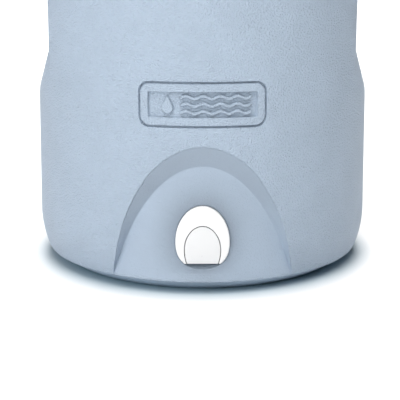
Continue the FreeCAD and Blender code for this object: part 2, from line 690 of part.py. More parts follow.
def lid_liner():
    """The lid's lower skin: a flange inside the cover and a cup that drops into the neck."""
    flange_radius = LID_SKIRT_INNER - GAP
    flange_top = LID_FLANGE_BOTTOM + LID_LINER_WALL
    inner = LID_PLUG_RADIUS - LID_LINER_WALL
    liner = turned(
        (0, LID_PLUG_BOTTOM),
        (LID_PLUG_RADIUS - LID_PLUG_BEVEL, LID_PLUG_BOTTOM),
        (LID_PLUG_RADIUS, LID_PLUG_BOTTOM + LID_PLUG_BEVEL),
        (LID_PLUG_RADIUS, LID_FLANGE_BOTTOM),
        (flange_radius, LID_FLANGE_BOTTOM),
        (flange_radius, flange_top),
        (inner, flange_top),
        (inner, LID_PLUG_BOTTOM + LID_PLUG_BEVEL + LID_LINER_WALL / 2),
        (inner - LID_CUP_CORNER, LID_PLUG_BOTTOM + LID_LINER_WALL),
        (0, LID_PLUG_BOTTOM + LID_LINER_WALL),
    )
    low = vec(0, 0, LID_PLUG_BOTTOM - BEYOND)
    hole = Part.makeCylinder(LID_PLUG_HOLE_RADIUS + GAP, LID_LINER_WALL + 2 * BEYOND, low)
    return liner.cut(hole)


def lid_foam():
    """Fills the space between the cover and the liner."""
    clear = 2 * GAP
    inner = LID_PLUG_RADIUS - LID_LINER_WALL - clear
    floor = LID_PLUG_BOTTOM + LID_LINER_WALL + clear
    shelf = LID_FLANGE_BOTTOM + LID_LINER_WALL + clear
    foam = turned(
        (0, floor),
        (inner - LID_CUP_CORNER, floor),
        (inner, LID_PLUG_BOTTOM + LID_PLUG_BEVEL + LID_LINER_WALL / 2 + clear),
        (inner, shelf),
        (LID_SKIRT_INNER - 2 * clear, shelf),
        (LID_SKIRT_INNER - 2 * clear, LID_SHOULDER_HEIGHT - LID_EDGE_CUT),
        (LID_CROWN_RADIUS - LID_WALL - clear, LID_CROWN_HEIGHT - LID_WALL - clear),
        (LID_RIM_OUTER - LID_WALL - clear, LID_TOP_HEIGHT - clear),
        (LID_RIM_INNER - LID_RIM_SLOPE, LID_TOP_HEIGHT - LID_WALL - clear),
        (0, LID_TOP_HEIGHT - LID_WALL - clear),
    )
    low = vec(0, 0, LID_PLUG_BOTTOM)
    hole = Part.makeCylinder(LID_PLUG_HOLE_RADIUS + PLUG_HOLLOW_GAP, PLUG_HOLLOW_DEPTH, low)
    return foam.cut(hole)


def lid_fill_plug():
    return plug(LID_PLUG_HOLE_RADIUS, LID_LINER_WALL + PLUG_THROUGH, LID_PLUG_BOTTOM)


def lid_gasket():
    """The ring seal between the liner's flange and the lid, carried up by the lid."""
    low = NECK_TOP + FLANGE_THICKNESS + GAP
    high = LID_FLANGE_BOTTOM - GAP
    return turned(
        (LID_SEAL_INNER, low), (LID_SEAL_OUTER, low), (LID_SEAL_OUTER, high), (LID_SEAL_INNER, high)
    )


# ---------------------------------------------------------------- bail handle

def rounded_section(thickness, height):
    """A rounded upright section in the XZ plane, centred on the Y axis line at the pivot's height."""
    x, z, r = thickness / 2, height / 2, SECTION_ROUND
    half_round = r * math.sqrt(0.5)
    edges = []
    corners = [(x, z), (-x, z), (-x, -z), (x, -z)]
    starts = [(x, z - r), (-x + r, z), (-x, -z + r), (x - r, -z)]
    ends = [(x - r, z), (-x, z - r), (-x + r, -z), (x, -z + r)]
    for (cx, cz), start, end in zip(corners, starts, ends):
        centre_x = cx - math.copysign(r, cx)
        centre_z = cz - math.copysign(r, cz)
        middle = (centre_x + math.copysign(half_round, cx), centre_z + math.copysign(half_round, cz))
        points = [vec(px, 0, pz) for px, pz in (start, middle, end)]
        edges.append(Part.Arc(*points).toShape())
    lines = []
    for i in range(4):
        a, b = ends[i], starts[(i + 1) % 4]
        lines.append(Part.makeLine(vec(a[0], 0, a[1]), vec(b[0], 0, b[1])))
    ordered = [edge for pair in zip(edges, lines) for edge in pair]
    return Part.Face(Part.Wire(ordered))


def bail_arcs():
    """Radius and centre of the bar's long arc, which meets each corner arc smoothly."""
    offset = ARM_X - CORNER_RADIUS
    lift = BAIL_REACH - ARM_STRAIGHT
    radius = (lift ** 2 + offset ** 2 - CORNER_RADIUS ** 2) / (2 * (lift - CORNER_RADIUS))
    return radius, BAIL_REACH - radius


def swept_arc(section, radius, centre, start_deg, sweep_deg):
    """A section carried round an upright axis through centre, counted from the +X direction."""
    piece = section.copy()
    piece.translate(vec(centre[0] + radius, centre[1], PIVOT_Z))
    axis_point = vec(centre[0], centre[1], 0)
    piece.rotate(axis_point, Z_AXIS, start_deg)
    return piece.revolve(axis_point, Z_AXIS, sweep_deg)


def handle_bail():
    arm = rounded_section(ARM_THICKNESS, ARM_HEIGHT)
    grip = rounded_section(GRIP_THICKNESS, GRIP_HEIGHT)
    radius, centre_y = bail_arcs()
    offset = ARM_X - CORNER_RADIUS
    corner_deg = math.degrees(math.atan2(ARM_STRAIGHT - centre_y, offset))
    start = arm.copy()
    start.translate(vec(ARM_X, 0, PIVOT_Z))
    halves = [
        start.extrude(vec(0, ARM_STRAIGHT, 0)),
        swept_arc(arm, CORNER_RADIUS, (offset, ARM_STRAIGHT), 0, corner_deg),
        along_x(EYE_RADIUS, ARM_X - ARM_THICKNESS / 2, ARM_X + ARM_THICKNESS / 2, PIVOT_Z),
    ]
    bar = swept_arc(arm, radius, (0, centre_y), corner_deg, 180 - 2 * corner_deg)
    hold = swept_arc(grip, radius, (0, centre_y), 90 - GRIP_ANGLE_DEG, 2 * GRIP_ANGLE_DEG)
    bail = bar.fuse([hold] + halves + [mirrored(piece) for piece in halves])
    reach = ARM_X + ARM_THICKNESS
    bail = bail.cut(along_x(PIN_RADIUS + PIN_GAP, -reach, reach, PIVOT_Z))
    return bail.removeSplitter()


def pivot_pin(side):
    """A stud through the bail's eye and the ear, with a head outside and a snap barb inside."""
    outer_x = ARM_X + ARM_THICKNESS / 2 + PIN_HEAD_GAP
    inner_x = EAR_INNER_X - PIN_BARB_GAP
    shaft = along_x(PIN_RADIUS, inner_x - PIN_BARB, outer_x + PIN_HEAD, PIVOT_Z)
    head = along_x(PIN_HEAD_RADIUS, outer_x, outer_x + PIN_HEAD, PIVOT_Z)
    barb = along_x(PIN_BARB_RADIUS, inner_x - PIN_BARB, inner_x, PIVOT_Z)
    pin = shaft.fuse([head, barb]).removeSplitter()
    return pin if side > 0 else mirrored(pin)


# ---------------------------------------------------------------- export

WHOLE_SHELL = whole_shell()
COLLAR_LIP_BAND = collar_lip()
NODES = {
    "outer_shell": outer_shell(),
    "neck_collar": neck_collar(),
    "insulation_foam": insulation_foam(),
    "inner_liner": inner_liner(),
    "foam_fill_plug": foam_fill_plug(),
    "pivot_pin_right": pivot_pin(1),
    "pivot_pin_left": pivot_pin(-1),
    "faucet_housing": faucet_housing(),
    "faucet_outer_gasket": faucet_outer_gasket(),
    "faucet_inner_gasket": faucet_inner_gasket(),
    "faucet_nut": faucet_nut(),
    "return_spring": return_spring(),
    "faucet_button": faucet_button(),
    "valve_stem": valve_stem(),
    "valve_seal": valve_seal(),
    "stem_clip": stem_clip(),
    "lid_cover": lid_cover(),
    "lid_liner": lid_liner(),
    "lid_foam": lid_foam(),
    "lid_fill_plug": lid_fill_plug(),
    "lid_gasket": lid_gasket(),
    "handle_bail": handle_bail(),
}

os.makedirs("parts", exist_ok=True)
for name, shape in NODES.items():
    shape.exportStep("parts/" + name + ".step")
    box = shape.optimalBoundingBox(False)
    print(
        f"{name}: solids {len(shape.Solids)} valid {shape.isValid()} volume {shape.Volume / 1000:.2f} cm3"
        f" x {box.XMin:.1f}..{box.XMax:.1f} y {box.YMin:.1f}..{box.YMax:.1f} z {box.ZMin:.1f}..{box.ZMax:.1f}"
    )
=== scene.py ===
import json
import math

import bmesh
import bpy
import numpy as np
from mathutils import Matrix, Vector


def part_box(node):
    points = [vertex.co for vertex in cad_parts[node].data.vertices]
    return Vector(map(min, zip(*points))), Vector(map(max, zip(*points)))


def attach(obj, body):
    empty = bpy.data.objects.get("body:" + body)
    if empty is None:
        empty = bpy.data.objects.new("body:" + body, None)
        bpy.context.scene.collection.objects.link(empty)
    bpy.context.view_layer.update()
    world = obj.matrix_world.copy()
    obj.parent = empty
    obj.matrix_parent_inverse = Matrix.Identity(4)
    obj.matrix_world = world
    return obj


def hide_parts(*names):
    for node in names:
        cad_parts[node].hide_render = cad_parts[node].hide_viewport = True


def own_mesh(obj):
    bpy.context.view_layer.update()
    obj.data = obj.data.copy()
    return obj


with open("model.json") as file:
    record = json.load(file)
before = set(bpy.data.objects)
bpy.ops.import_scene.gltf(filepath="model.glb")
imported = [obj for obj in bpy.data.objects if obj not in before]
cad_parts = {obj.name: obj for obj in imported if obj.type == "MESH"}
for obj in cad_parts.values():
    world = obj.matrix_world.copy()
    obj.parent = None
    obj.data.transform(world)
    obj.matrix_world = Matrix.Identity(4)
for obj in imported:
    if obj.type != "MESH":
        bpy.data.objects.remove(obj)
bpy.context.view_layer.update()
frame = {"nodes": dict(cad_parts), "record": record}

# Metres throughout. The tap faces -Y. Angles round the jug are counted from the front, towards +X.

# ---- Camera ----
CAMERA_PLACE = (-0.0019, -0.8775, 0.26565)
CAMERA_PITCH_DEG = 14.418       # below the horizon
CAMERA_LENS_MM = 94.63
SENSOR_MM = 36.0

# ---- Shell, repeated from the CAD source ----
SHELL_LOW, SHELL_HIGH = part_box("outer_shell")
BELLY_RADIUS = SHELL_HIGH.x
BELLY_Z = 0.040
EDGE_RADIUS = 0.1313
EDGE_Z = 0.0102
FOOT_RADIUS = 0.1154
FOOT_INNER = 0.100
PANEL_Z = 0.005
SHOULDER_RADIUS = 0.1332
SHOULDER_FILLET = 0.012
LEDGE_Z = 0.2325
SEAM_Z = SHELL_HIGH.z           # the collar sits on the side wall here
SEAM_GAP = 0.0001
SEAM_SOFT = 0.0004              # rounding of both edges at the seam
NECK_RADIUS = 0.099
NECK_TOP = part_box("neck_collar")[1].z
WALL = 0.003
PLUG_HOLE = 0.0121

# ---- Scoops at the sides ----
SCOOP_RADIUS = 0.190
SCOOP_START = (0.1346, 0.1395)  # x and z where the leaning floor leaves the wall
SCOOP_SLOPE = math.radians(15.6)
SCOOP_TOP_X = 0.119
SCOOP_SOFTNESS = 0.0012

# ---- Arch recess ----
ARCH_FOOT_Z = 0.013
ARCH_OUTER = (0.070, 0.115, 1.7)        # half width along the wall, top, power
ARCH_INNER = (0.069, 0.0968, 1.17)
ARCH_FLOOR = 0.128
ARCH_FLARE_Z = 0.060
BAND_SOFT = 0.0013              # rounding along the arch's edges
BAND_SOFT_SHARES = (0.05, 0.4)  # least and greatest share of the band that the rounding takes
BAND_SHADE = 0.22               # painted shade on the polished sloping band: how much darker it is at the arch's top
BAND_SHADE_Z = (0.020, 0.085)   # the band's painted shade comes in between these heights
BAND_EDGE = 0.0005              # and over this depth at both of the band's edges
PATCH_HALF_DEG = 36.5           # the front patch that holds the arch and the tap
PATCH_TOP = 0.121

# ---- Tap ----
TAP_Z = 0.0402
TAP_HALF = 0.0204
TAP_UP = 0.0278
TAP_DOWN = 0.0209
TAP_LOWER_POWER = 2.3
TAP_CUT_Z = 0.0238
TAP_FACE_Y = -0.1286
POCKET_FLOOR_Y = -0.1115
TAP_LIP = 0.0011                # rounding of the shell's edge round the tap
TAP_LIP_LOW = 0.0008            # the same under the tap
SILL_SLOPE = 0.55               # the pocket's lower wall rises as it goes in
SILL_SHARE = 0.62               # up to this share of the space under the tap's flat edge
DISH_DEPTH = 0.0020
DISH_WIDTH = 0.013
RECESS_PAINTED_SHADE = 0.065          # painted shade: how much darker the polished arch recess and the underside are
DISH_SHADE = 0.33               # painted shade, a soft dark halo round the tap: how much darker the polished dish is beside it
DISH_SHADE_WIDTH = 0.012
BUTTON_Z = 0.0343
BUTTON_HALF = 0.0134
BUTTON_UP = 0.0183
BUTTON_DOWN = 0.021
BUTTON_GAP = 0.00045
BUTTON_FRONT_Y = -0.1292
BUTTON_CAP_Y = -0.1264          # the back of the button's front wall
BUTTON_SKIRT_Y = -0.1224
BUTTON_WALL = 0.0018
BUTTON_FOOT_WALL = 0.0012
BUTTON_HUB = (0.00205, 0.0046)  # inner and outer radius of the socket for the stem
BUTTON_EDGE = 0.0006
BUTTON_DOME = 0.0006
BUTTON_RINGS = (0.02, 0.25, 0.5, 0.72, 0.88)    # scales of the outline across the domed front
BUTTON_REACH = 0.017            # the outline's mean distance from its middle
GAP_SHADE_DEPTH = 0.0012            # painted shade in the gap round the button starts this deep
# how dark the painted shade in that gap gets
GAP_PAINTED_SHADE = 0.9
FACE_DEPTH = 0.0032
FACE_INSET = 0.0001
FACE_EDGE = 0.0011
HOLE_EDGE = 0.0003
DOME = 0.0007                   # how far the face bulges
CHAMBER_INSET = 0.0008
CHAMBER_WALL = 0.0015
TAP_BACK_Y = -0.1150
BACK_WALL = 0.0020
BARREL_Z = 0.041
BARREL_RADIUS = 0.0105
BARREL_BORE = 0.0075
BARREL_END_Y = -0.0930
THREAD_START_Y = -0.1005
THREAD_PITCH = 0.0011
THREAD_DEPTH = 0.00045
BARREL_BEVEL = 0.0006
STEM_GUIDE = 0.0040
STEM_GUIDE_LENGTH = 0.011
STEM_HOLE = 0.00205
SPOKE_COUNT = 3
SPOKE_HALF = (0.0010, 0.0015)
SPRING_WIRE = 0.00045           # half the wire's thickness
SPRING_RADIUS = 0.0061
SPRING_TURNS = 4
SPRING_SPAN = (-0.1263, -0.1151)

# ---- Badge: a plain rounded frame with a drop and ripples ----
BADGE_Z = 0.1443
BADGE_HALF = (0.0475, 0.0168)
BADGE_CORNER = 0.0085
BADGE_SINK = 0.0019             # the panel lies this far below the wall
BADGE_STEP = 0.0006             # width of the relief's steps
BADGE_BAR_IN = 0.0047           # the raised frame's middle, in from the panel's edge
BADGE_BAR_HALF = 0.0033
BADGE_BAR = 0.00215             # height of the raised frame
BADGE_MARK = 0.0021             # height of the drop and the ripples
CREASE_SHADE = 0.20             # painted shade in the badge's creases: how much darker they are
CREASE_RISE = 0.0004            # a point this far below its surroundings is fully in a crease
DROP_X = -0.0255
DROP_Y = -0.0022                # the middle of its round foot, from the badge's middle
DROP_RADIUS = 0.0044
DROP_TIP = 0.0098               # from there up to the tip
RIPPLE_START = -0.0150
RIPPLE_END = 0.0345
RIPPLE_STEP = 0.0054
RIPPLE_HALF = 0.0014
RIPPLE_SWING = 0.0010
RIPPLE_LENGTH = 0.0124

# ---- Screw lugs of the neck and of the lid ----
LUG_COUNT = 4
LUG_LEAD = 0.040
LUG_ARC_DEG = 40
LUG_HEIGHT = 0.004
LUG_REACH = 0.003
LUG_BITE = 0.0005               # how far a lug's root is sunk in its wall
LUG_Z = 0.250
LUG_SEAT_GAP = 0.0004
LUG_ROUND = 0.0011
LUG_TAPER = 12                  # a lug's end narrows over one twelfth of its length
LUG_END = 0.12                  # square of its end's share of the full height

# ---- Lid ----
LID_RADIUS = 0.1075
SKIRT_INNER = 0.1026
SKIRT_BOTTOM = 0.236
LID_SHOULDER_Z = 0.278
LID_CROWN = (0.096, 0.289)
LID_RIM_Z = 0.292
LID_RIM_OUTER = 0.094
LID_RIM_INNER = 0.086
LID_TOP_Z = 0.286
LID_WALL = 0.003
LID_MIDDLE = 0.0005             # radius of the small flat face at the middle of the top
LID_LONGEST_STEP = 0.0045
FLUTES = 36
FLUTE_COLUMNS = 14              # points round the lid for each flute
FLUTE_DEPTH = 0.0013
FLUTE_HALF = 0.36               # half a flute's width, as a share of half the spacing
FLUTE_TOP_Z = 0.270
FLUTE_END = 0.004
FLUTE_WALL = 0.0022             # flutes mark only the outermost part of the cover

# ---- Handle and its ears ----
PIVOT_Z = 0.240
EAR_INNER_X = 0.112
EAR_OUTER_X = 0.1186
EAR_HALF = 0.012
EAR_FLARE = 0.0012              # the ear widens this much where it meets the ledge
EAR_SINK = 0.0006
EAR_SOFT = 0.0012
EAR_HOLE = 0.00405
ARM_X = 0.124
ARM_HALF = (0.0045, 0.007)
ARM_STRAIGHT = 0.018
CORNER_RADIUS = 0.095
BAIL_REACH = 0.126
SECTION_ROUND = 0.0035
GRIP_HALF = (0.007, 0.0073)
GRIP_ROUND = 0.0062
GRIP_ANGLE_DEG = 24
GRIP_TAPER_DEG = 3.0
GRIP_RIBS = 22
GRIP_RIB_DEPTH = 0.0004
EYE_RADIUS = 0.0115
EYE_HOLE = 0.00405
EYE_ROUND = 0.0014

# ---- Materials ----
PLASTICS = {    # colour, roughness, grain's features per metre and depth, mottle, depth of slow waves
    "shell_blue": ((0.389, 0.474, 0.580), 0.5, 800, 0.0019, 0.03, 0.0004),
    "liner_white": ((0.80, 0.81, 0.82), 0.32, 500, 0.00006, 0.015, 0.0004),
    "plug_grey": ((0.22, 0.25, 0.29), 0.5, 900, 0.0001, 0.08, 0.0004),
    "handle_white": ((0.68, 0.69, 0.70), 0.42, 1100, 0.00014, 0.015, 0.0004),
    "tap_white": ((0.83, 0.835, 0.84), 0.3, 420, 0.00002, 0.004, 0.00005),
    "button_white": ((0.745, 0.75, 0.755), 0.3, 420, 0.00002, 0.004, 0.00005),
    "lid_white": ((0.66, 0.67, 0.68), 0.44, 1100, 0.0002, 0.015, 0.0004),
}
GRAIN_IN_RECESS = 0.25          # share of the pebble grain's depth left on polished areas
FOAM_COLOUR = (0.80, 0.70, 0.45)
RUBBER_COLOUR = (0.025, 0.025, 0.028)
STEEL_COLOUR = (0.55, 0.55, 0.57)
SOFT_EDGED = {                  # CAD nodes that stay in view, and how wide their edges are bevelled
    "pivot_pin_right": 0.0007,
    "pivot_pin_left": 0.0007,
    "faucet_nut": 0.0005,
    "foam_fill_plug": 0.0004,
    "lid_fill_plug": 0.0004,
    "stem_clip": 0.0003,
    "valve_seal": 0.0004,
}

# ---- Floor and light ----
FLOOR_HALF = 30.0
FLOOR_DARK = (0.114, 0.146)     # painted shadow: the floor is darker under the jug, out to the second distance
FLOOR_SHADE = 0.66
FLOOR_TINT = (0.0, 0.25, 0.38)  # what the painted shadow darkens to: the jug's blue shows in it
FLOOR_GLOW = (0.9, 2.6)         # the floor glows white far off, from the first distance to the second
KEY_WATTS = 26.0
KEY_AZIMUTH_DEG = -36           # from the front, towards the left
KEY_HEIGHT_DEG = 20
KEY_REACH = 2.5
KEY_SIZE = 1.3
KEY_AIM_Z = 0.12
TOP_WATTS = 140
TOP_PLACE = (0, -0.2, 2.4)
TOP_SIZE = (1.4, 5.0)


# ---------------------------------------------------------------- mesh helpers

def mesh_object(name, verts, faces, material, merge=1e-6):
    """A smooth-shaded mesh object from points and faces, with equal points joined."""
    mesh = bpy.data.meshes.new(name)
    mesh.from_pydata([tuple(map(float, v)) for v in verts], [], [tuple(f) for f in faces])
    bm = bmesh.new()
    bm.from_mesh(mesh)
    bmesh.ops.remove_doubles(bm, verts=bm.verts, dist=merge)
    bmesh.ops.dissolve_degenerate(bm, dist=merge, edges=bm.edges)
    bmesh.ops.recalc_face_normals(bm, faces=bm.faces)
    bm.to_mesh(mesh)
    bm.free()
    mesh.materials.append(material)
    for polygon in mesh.polygons:
        polygon.use_smooth = True
    obj = bpy.data.objects.new(name, mesh)
    bpy.context.scene.collection.objects.link(obj)
    return obj


class Net:
    """Collects grids and fans of points and faces for one mesh."""

    def __init__(self):
        self.verts = []
        self.faces = []

    def grid(self, points, closed=False):
        """Rows of points joined by quads. closed also joins the last column to the first."""
        points = np.asarray(points, float)
        rows, columns = points.shape[:2]
        first = len(self.verts)
        self.verts.extend(points.reshape(-1, 3))
        for i in range(rows - 1):
            for j in range(columns if closed else columns - 1):
                k = (j + 1) % columns
                a, b = first + i * columns, first + (i + 1) * columns
                self.faces.append((a + j, a + k, b + k, b + j))

    def closed_tube(self, rings):
        """Closed rings joined one after another, with a flat face on the first and on the last."""
        self.grid(rings, closed=True)
        self.cap(rings[0])
        self.cap(rings[-1][::-1])

    def cap(self, loop):
        """One flat face across a loop of points."""
        first = len(self.verts)
        self.verts.extend(np.asarray(loop, float))
        self.faces.append(tuple(range(first, first + len(loop))))


def shade_by_angle(obj, degrees=40):
    """Marks edges sharper than an angle, so that flat and round stretches both read well."""
    bm = bmesh.new()
    bm.from_mesh(obj.data)
    for edge in bm.edges:
        if len(edge.link_faces) == 2 and edge.calc_face_angle(0) > math.radians(degrees):
            edge.smooth = False
    bm.to_mesh(obj.data)
    bm.free()
    return obj


def round_about_z(radii, heights, angles):
    """Points of a turned surface: one row per (radius, height)."""
    radii = np.asarray(radii, float)[:, None] * np.ones(len(angles))
    heights = np.asarray(heights, float)[:, None] * np.ones(len(angles))
    return np.stack([radii * np.sin(angles), -radii * np.cos(angles), heights], axis=-1)


def soft_min(a, b, softness):
    """The smaller of two values, with a rounded corner where they meet."""
    h = np.clip(0.5 + 0.5 * (b - a) / softness, 0, 1)
    return b + (a - b) * h - softness * h * (1 - h)


def arc_points(centre, radius, start_deg, end_deg, count):
    """Points (radius, height) along an arc in a half section."""
    angles = np.radians(np.linspace(start_deg, end_deg, count))
    return [(centre[0] + radius * math.cos(a), centre[1] + radius * math.sin(a)) for a in angles]


# ---------------------------------------------------------------- shell shape

def wall_radius(z):
    """Radius of the plain side wall: an arc up to the belly, then a straight taper."""
    z = np.asarray(z, float)
    drop, set_in = BELLY_Z - EDGE_Z, BELLY_RADIUS - EDGE_RADIUS
    arc = (drop ** 2 + set_in ** 2) / (2 * set_in)
    low = BELLY_RADIUS - arc + np.sqrt(np.maximum(arc ** 2 - (BELLY_Z - z) ** 2, 0))
    rise = (z - BELLY_Z) / (LEDGE_Z - SHOULDER_FILLET - BELLY_Z)
    high = BELLY_RADIUS + (SHOULDER_RADIUS - BELLY_RADIUS) * rise
    return np.where(z < BELLY_Z, low, high)


def floor_radius(z):
    """Radius of the arch's floor, which flares out to the lower edge."""
    fall = np.clip((ARCH_FLARE_Z - z) / (ARCH_FLARE_Z - EDGE_Z), 0, 1)
    return ARCH_FLOOR + (EDGE_RADIUS - ARCH_FLOOR) * fall ** 2


def scoop_radius(angle, z):
    """Distance from the axis to a side scoop's floor, along a direction round the jug."""
    x, y = abs(math.sin(angle)), abs(math.cos(angle))
    if x < 0.2:
        return 1.0
    lean_x, lean_z = math.cos(SCOOP_SLOPE), math.sin(SCOOP_SLOPE)
    axis_x = SCOOP_START[0] - lean_x * SCOOP_RADIUS
    axis_z = SCOOP_START[1] - lean_z * SCOOP_RADIUS
    # distance to a drum whose axis leans: across it lie (lean_x, 0, lean_z) and Y
    offset = -axis_x * lean_x + (z - axis_z) * lean_z
    a = (x * lean_x) ** 2 + y ** 2
    b = 2 * x * lean_x * offset
    c = offset ** 2 - SCOOP_RADIUS ** 2
    drum = (-b + math.sqrt(max(b * b - 4 * a * c, 0))) / (2 * a)
    return max(drum, SCOOP_TOP_X / x)


def body_radius(angle, z, plain):
    """The plain radius with the side scoops taken out, their rims softened."""
    lip = 0.003
    inward = lip - math.sqrt(max(lip ** 2 - max(z - LEDGE_Z + lip, 0) ** 2, 0))
    return soft_min(plain, scoop_radius(angle, z) - inward, SCOOP_SOFTNESS)


def badge_height(along, z):
    """Relief of the badge: a sunk rounded panel, a raised frame, and a drop over ripples."""
    x, y = abs(along), abs(z - BADGE_Z)
    corner = BADGE_CORNER
    dx, dy = x - BADGE_HALF[0] + corner, y - BADGE_HALF[1] + corner
    outside = math.hypot(max(dx, 0), max(dy, 0)) + min(max(dx, dy), 0) - corner
    sink = BADGE_SINK * smooth_step(-outside / BADGE_STEP)
    frame_bar = BADGE_BAR * plateau(outside + BADGE_BAR_IN, BADGE_BAR_HALF, BADGE_STEP)
    return frame_bar - sink + emblem(along, z - BADGE_Z)


def plateau(distance, half_width, step):
    """A flat-topped ridge with rounded shoulders: 1 along its middle, 0 beyond its half width."""
    return smooth_step((half_width - abs(distance)) / step)


def smooth_step(t):
    t = min(max(t, 0.0), 1.0)
    return t * t * (3 - 2 * t)


def emblem(x, y):
    """A water drop on the left and three ripples beside it, with flat tops."""
    drop = BADGE_MARK * smooth_step(drop_inset(x - DROP_X, y) / BADGE_STEP)
    ripples = 0.0
    along = x - RIPPLE_START
    inside = min(along, RIPPLE_END - x)
    if inside > -RIPPLE_HALF:
        end = max(-inside, 0.0)
        for row in (-RIPPLE_STEP, 0.0, RIPPLE_STEP):
            wave = row + RIPPLE_SWING * math.sin(along / RIPPLE_LENGTH * math.tau)
            ripples = max(ripples, plateau(math.hypot(y - wave, end), RIPPLE_HALF, BADGE_STEP))
    return drop + BADGE_MARK * ripples


def drop_inset(x, y):
    """How far a point lies inside the drop's outline: a round foot that tapers to a tip."""
    rise = y - DROP_Y
    foot = DROP_RADIUS - math.hypot(x, rise)
    lean = math.asin(DROP_RADIUS / DROP_TIP)
    side = (DROP_TIP - rise) * math.sin(lean) - abs(x) * math.cos(lean)
    return max(foot, side if rise > DROP_RADIUS * math.sin(lean) else -1.0)


def theta_lines():
    """Directions round the jug: fine across the front, coarser behind."""
    fine = np.arange(0, 21.5, 0.16)
    middle = np.linspace(21.5, PATCH_HALF_DEG, 36)
    rest = np.linspace(PATCH_HALF_DEG, 180, 111)[1:]
    half = np.concatenate([fine, middle, rest])
    both = np.concatenate([-half[::-1][1:-1], half])
    return np.radians(np.unique(np.round(both, 6)))


def wall_rows(heights, angles):
    """Rows of the side wall with the scoops and the badge."""
    rows = []
    for z in heights:
        plain = float(wall_radius(z))
        row = []
        for angle in angles:
            radius = body_radius(angle, z, plain)
            along = radius * angle
            if abs(along) < BADGE_HALF[0] + 0.004 and abs(z - BADGE_Z) < BADGE_HALF[1] + 0.004:
                radius += badge_height(along, z)
            row.append((radius * math.sin(angle), -radius * math.cos(angle), z))
        rows.append(row)
    return np.array(rows)


def arch_half_angle(outline, z, radius):
    half, top, power = outline
    u = np.clip((z - ARCH_FOOT_Z) / (top - ARCH_FOOT_Z), 0, 1)
    return half * np.sqrt(1 - u ** power) / radius


def in_arch(outline, angle, z, radius):
    return (z < outline[1]) & (np.abs(angle) < arch_half_angle(outline, z, radius))


def in_tap(angle, z):
    x = ARCH_FLOOR * np.sin(angle)
    above = z >= TAP_Z
    height = np.where(above, TAP_UP, TAP_DOWN)
    power = np.where(above, 2.0, TAP_LOWER_POWER)
    return (np.abs(x) / TAP_HALF) ** power + (np.abs(z - TAP_Z) / height) ** power < 1


def ray_share(inside, angle, z):
    """Share of each ray from the tap's centre to its end that lies inside an outline."""
    low, high = np.zeros(len(angle)), np.ones(len(angle))
    for _ in range(40):
        middle = (low + high) / 2
        hit = inside(angle * middle, TAP_Z + (z - TAP_Z) * middle)
        low, high = np.where(hit, middle, low), np.where(hit, high, middle)
    return high


def band_blend(t, width):
    """From 0 to 1 across the arch's sloping band, with a round of one size at both ends."""
    e = np.clip(BAND_SOFT / np.maximum(width, BAND_SOFT), BAND_SOFT_SHARES[0], BAND_SOFT_SHARES[1])
    scale = 1 / (1 - e)
    low = t * t / (2 * e)
    high = 1 / scale - (1 - t) ** 2 / (2 * e)
    return scale * np.where(t < e, low, np.where(t > 1 - e, high, t - e / 2))


def front_patch(net, angles, heights):
    """The front of the shell: rings round the tap that follow its lip and both arch edges."""
    half = math.radians(PATCH_HALF_DEG)
    columns = angles[np.abs(angles) <= half + 1e-6]
    sides = heights[1:-1]
    rim = [(a, heights[0]) for a in columns]
    rim += [(half, z) for z in sides]
    rim += [(a, heights[-1]) for a in columns[::-1]]
    rim += [(-half, z) for z in sides[::-1]]
    end_angle, end_z = np.array(rim).T
    tap = ray_share(in_tap, end_angle, end_z)
    inner = ray_share(lambda a, z: in_arch(ARCH_INNER, a, z, ARCH_FLOOR), end_angle, end_z)
    outer = ray_share(lambda a, z: in_arch(ARCH_OUTER, a, z, wall_radius(z)), end_angle, end_z)
    outer = np.maximum(outer, inner)
    mouth_z = TAP_Z + (end_z - TAP_Z) * tap
    low_share = np.clip((TAP_CUT_Z + 0.004 - mouth_z) / 0.006, 0, 1)
    lip_size = TAP_LIP + (TAP_LIP_LOW - TAP_LIP) * low_share
    rows = []
    for share in np.linspace(0, 1, 44) ** 1.6:
        t = tap + (inner - tap) * share
        angle, z = end_angle * t, TAP_Z + (end_z - TAP_Z) * t
        run = np.hypot(end_angle * ARCH_FLOOR, end_z - TAP_Z)
        away = (t - tap) * run
        lip = np.clip(lip_size - away, 0, None)
        drop = lip_size - np.sqrt(np.maximum(lip_size ** 2 - lip ** 2, 0))
        dish = DISH_DEPTH * np.exp(-(away / DISH_WIDTH) ** 2)
        fade = np.clip((z - EDGE_Z) / 0.006, 0, 1)
        radius = floor_radius(z) - dish * fade - drop
        rows.append((angle, z, radius))
    band_width = (outer - inner) * np.hypot(end_angle * ARCH_FLOOR, end_z - TAP_Z)
    for share in np.linspace(0, 1, 21)[1:]:
        t = inner + (outer - inner) * share
        angle, z = end_angle * t, TAP_Z + (end_z - TAP_Z) * t
        low, high = floor_radius(z), wall_radius(z)
        rows.append((angle, z, low + (high - low) * band_blend(share, band_width)))
    for share in np.linspace(0, 1, 25)[1:] ** 1.4:
        t = outer + (1 - outer) * share
        angle, z = end_angle * t, TAP_Z + (end_z - TAP_Z) * t
        rows.append((angle, z, wall_radius(z)))
    points = [np.stack([r * np.sin(a), -r * np.cos(a), z], axis=-1) for a, z, r in rows]
    pocket = []
    mouth = points[0]
    room = np.maximum(TAP_CUT_Z - mouth[:, 2], 0) * SILL_SHARE
    for share in (1, 0.7, 0.45, 0.32, 0.24, 0.16, 0.08, 0):
        ring = mouth.copy()
        deep = (POCKET_FLOOR_Y - mouth[:, 1]) * share
        ring[:, 1] += deep
        ring[:, 2] += np.minimum(deep * SILL_SLOPE, room)
        pocket.append(ring)
    centre = np.array([0.0, POCKET_FLOOR_Y, TAP_Z])
    floor = [centre + (pocket[0] - centre) * s for s in (0.0, 0.35, 0.7)]
    net.grid(floor + pocket + points[1:], closed=True)


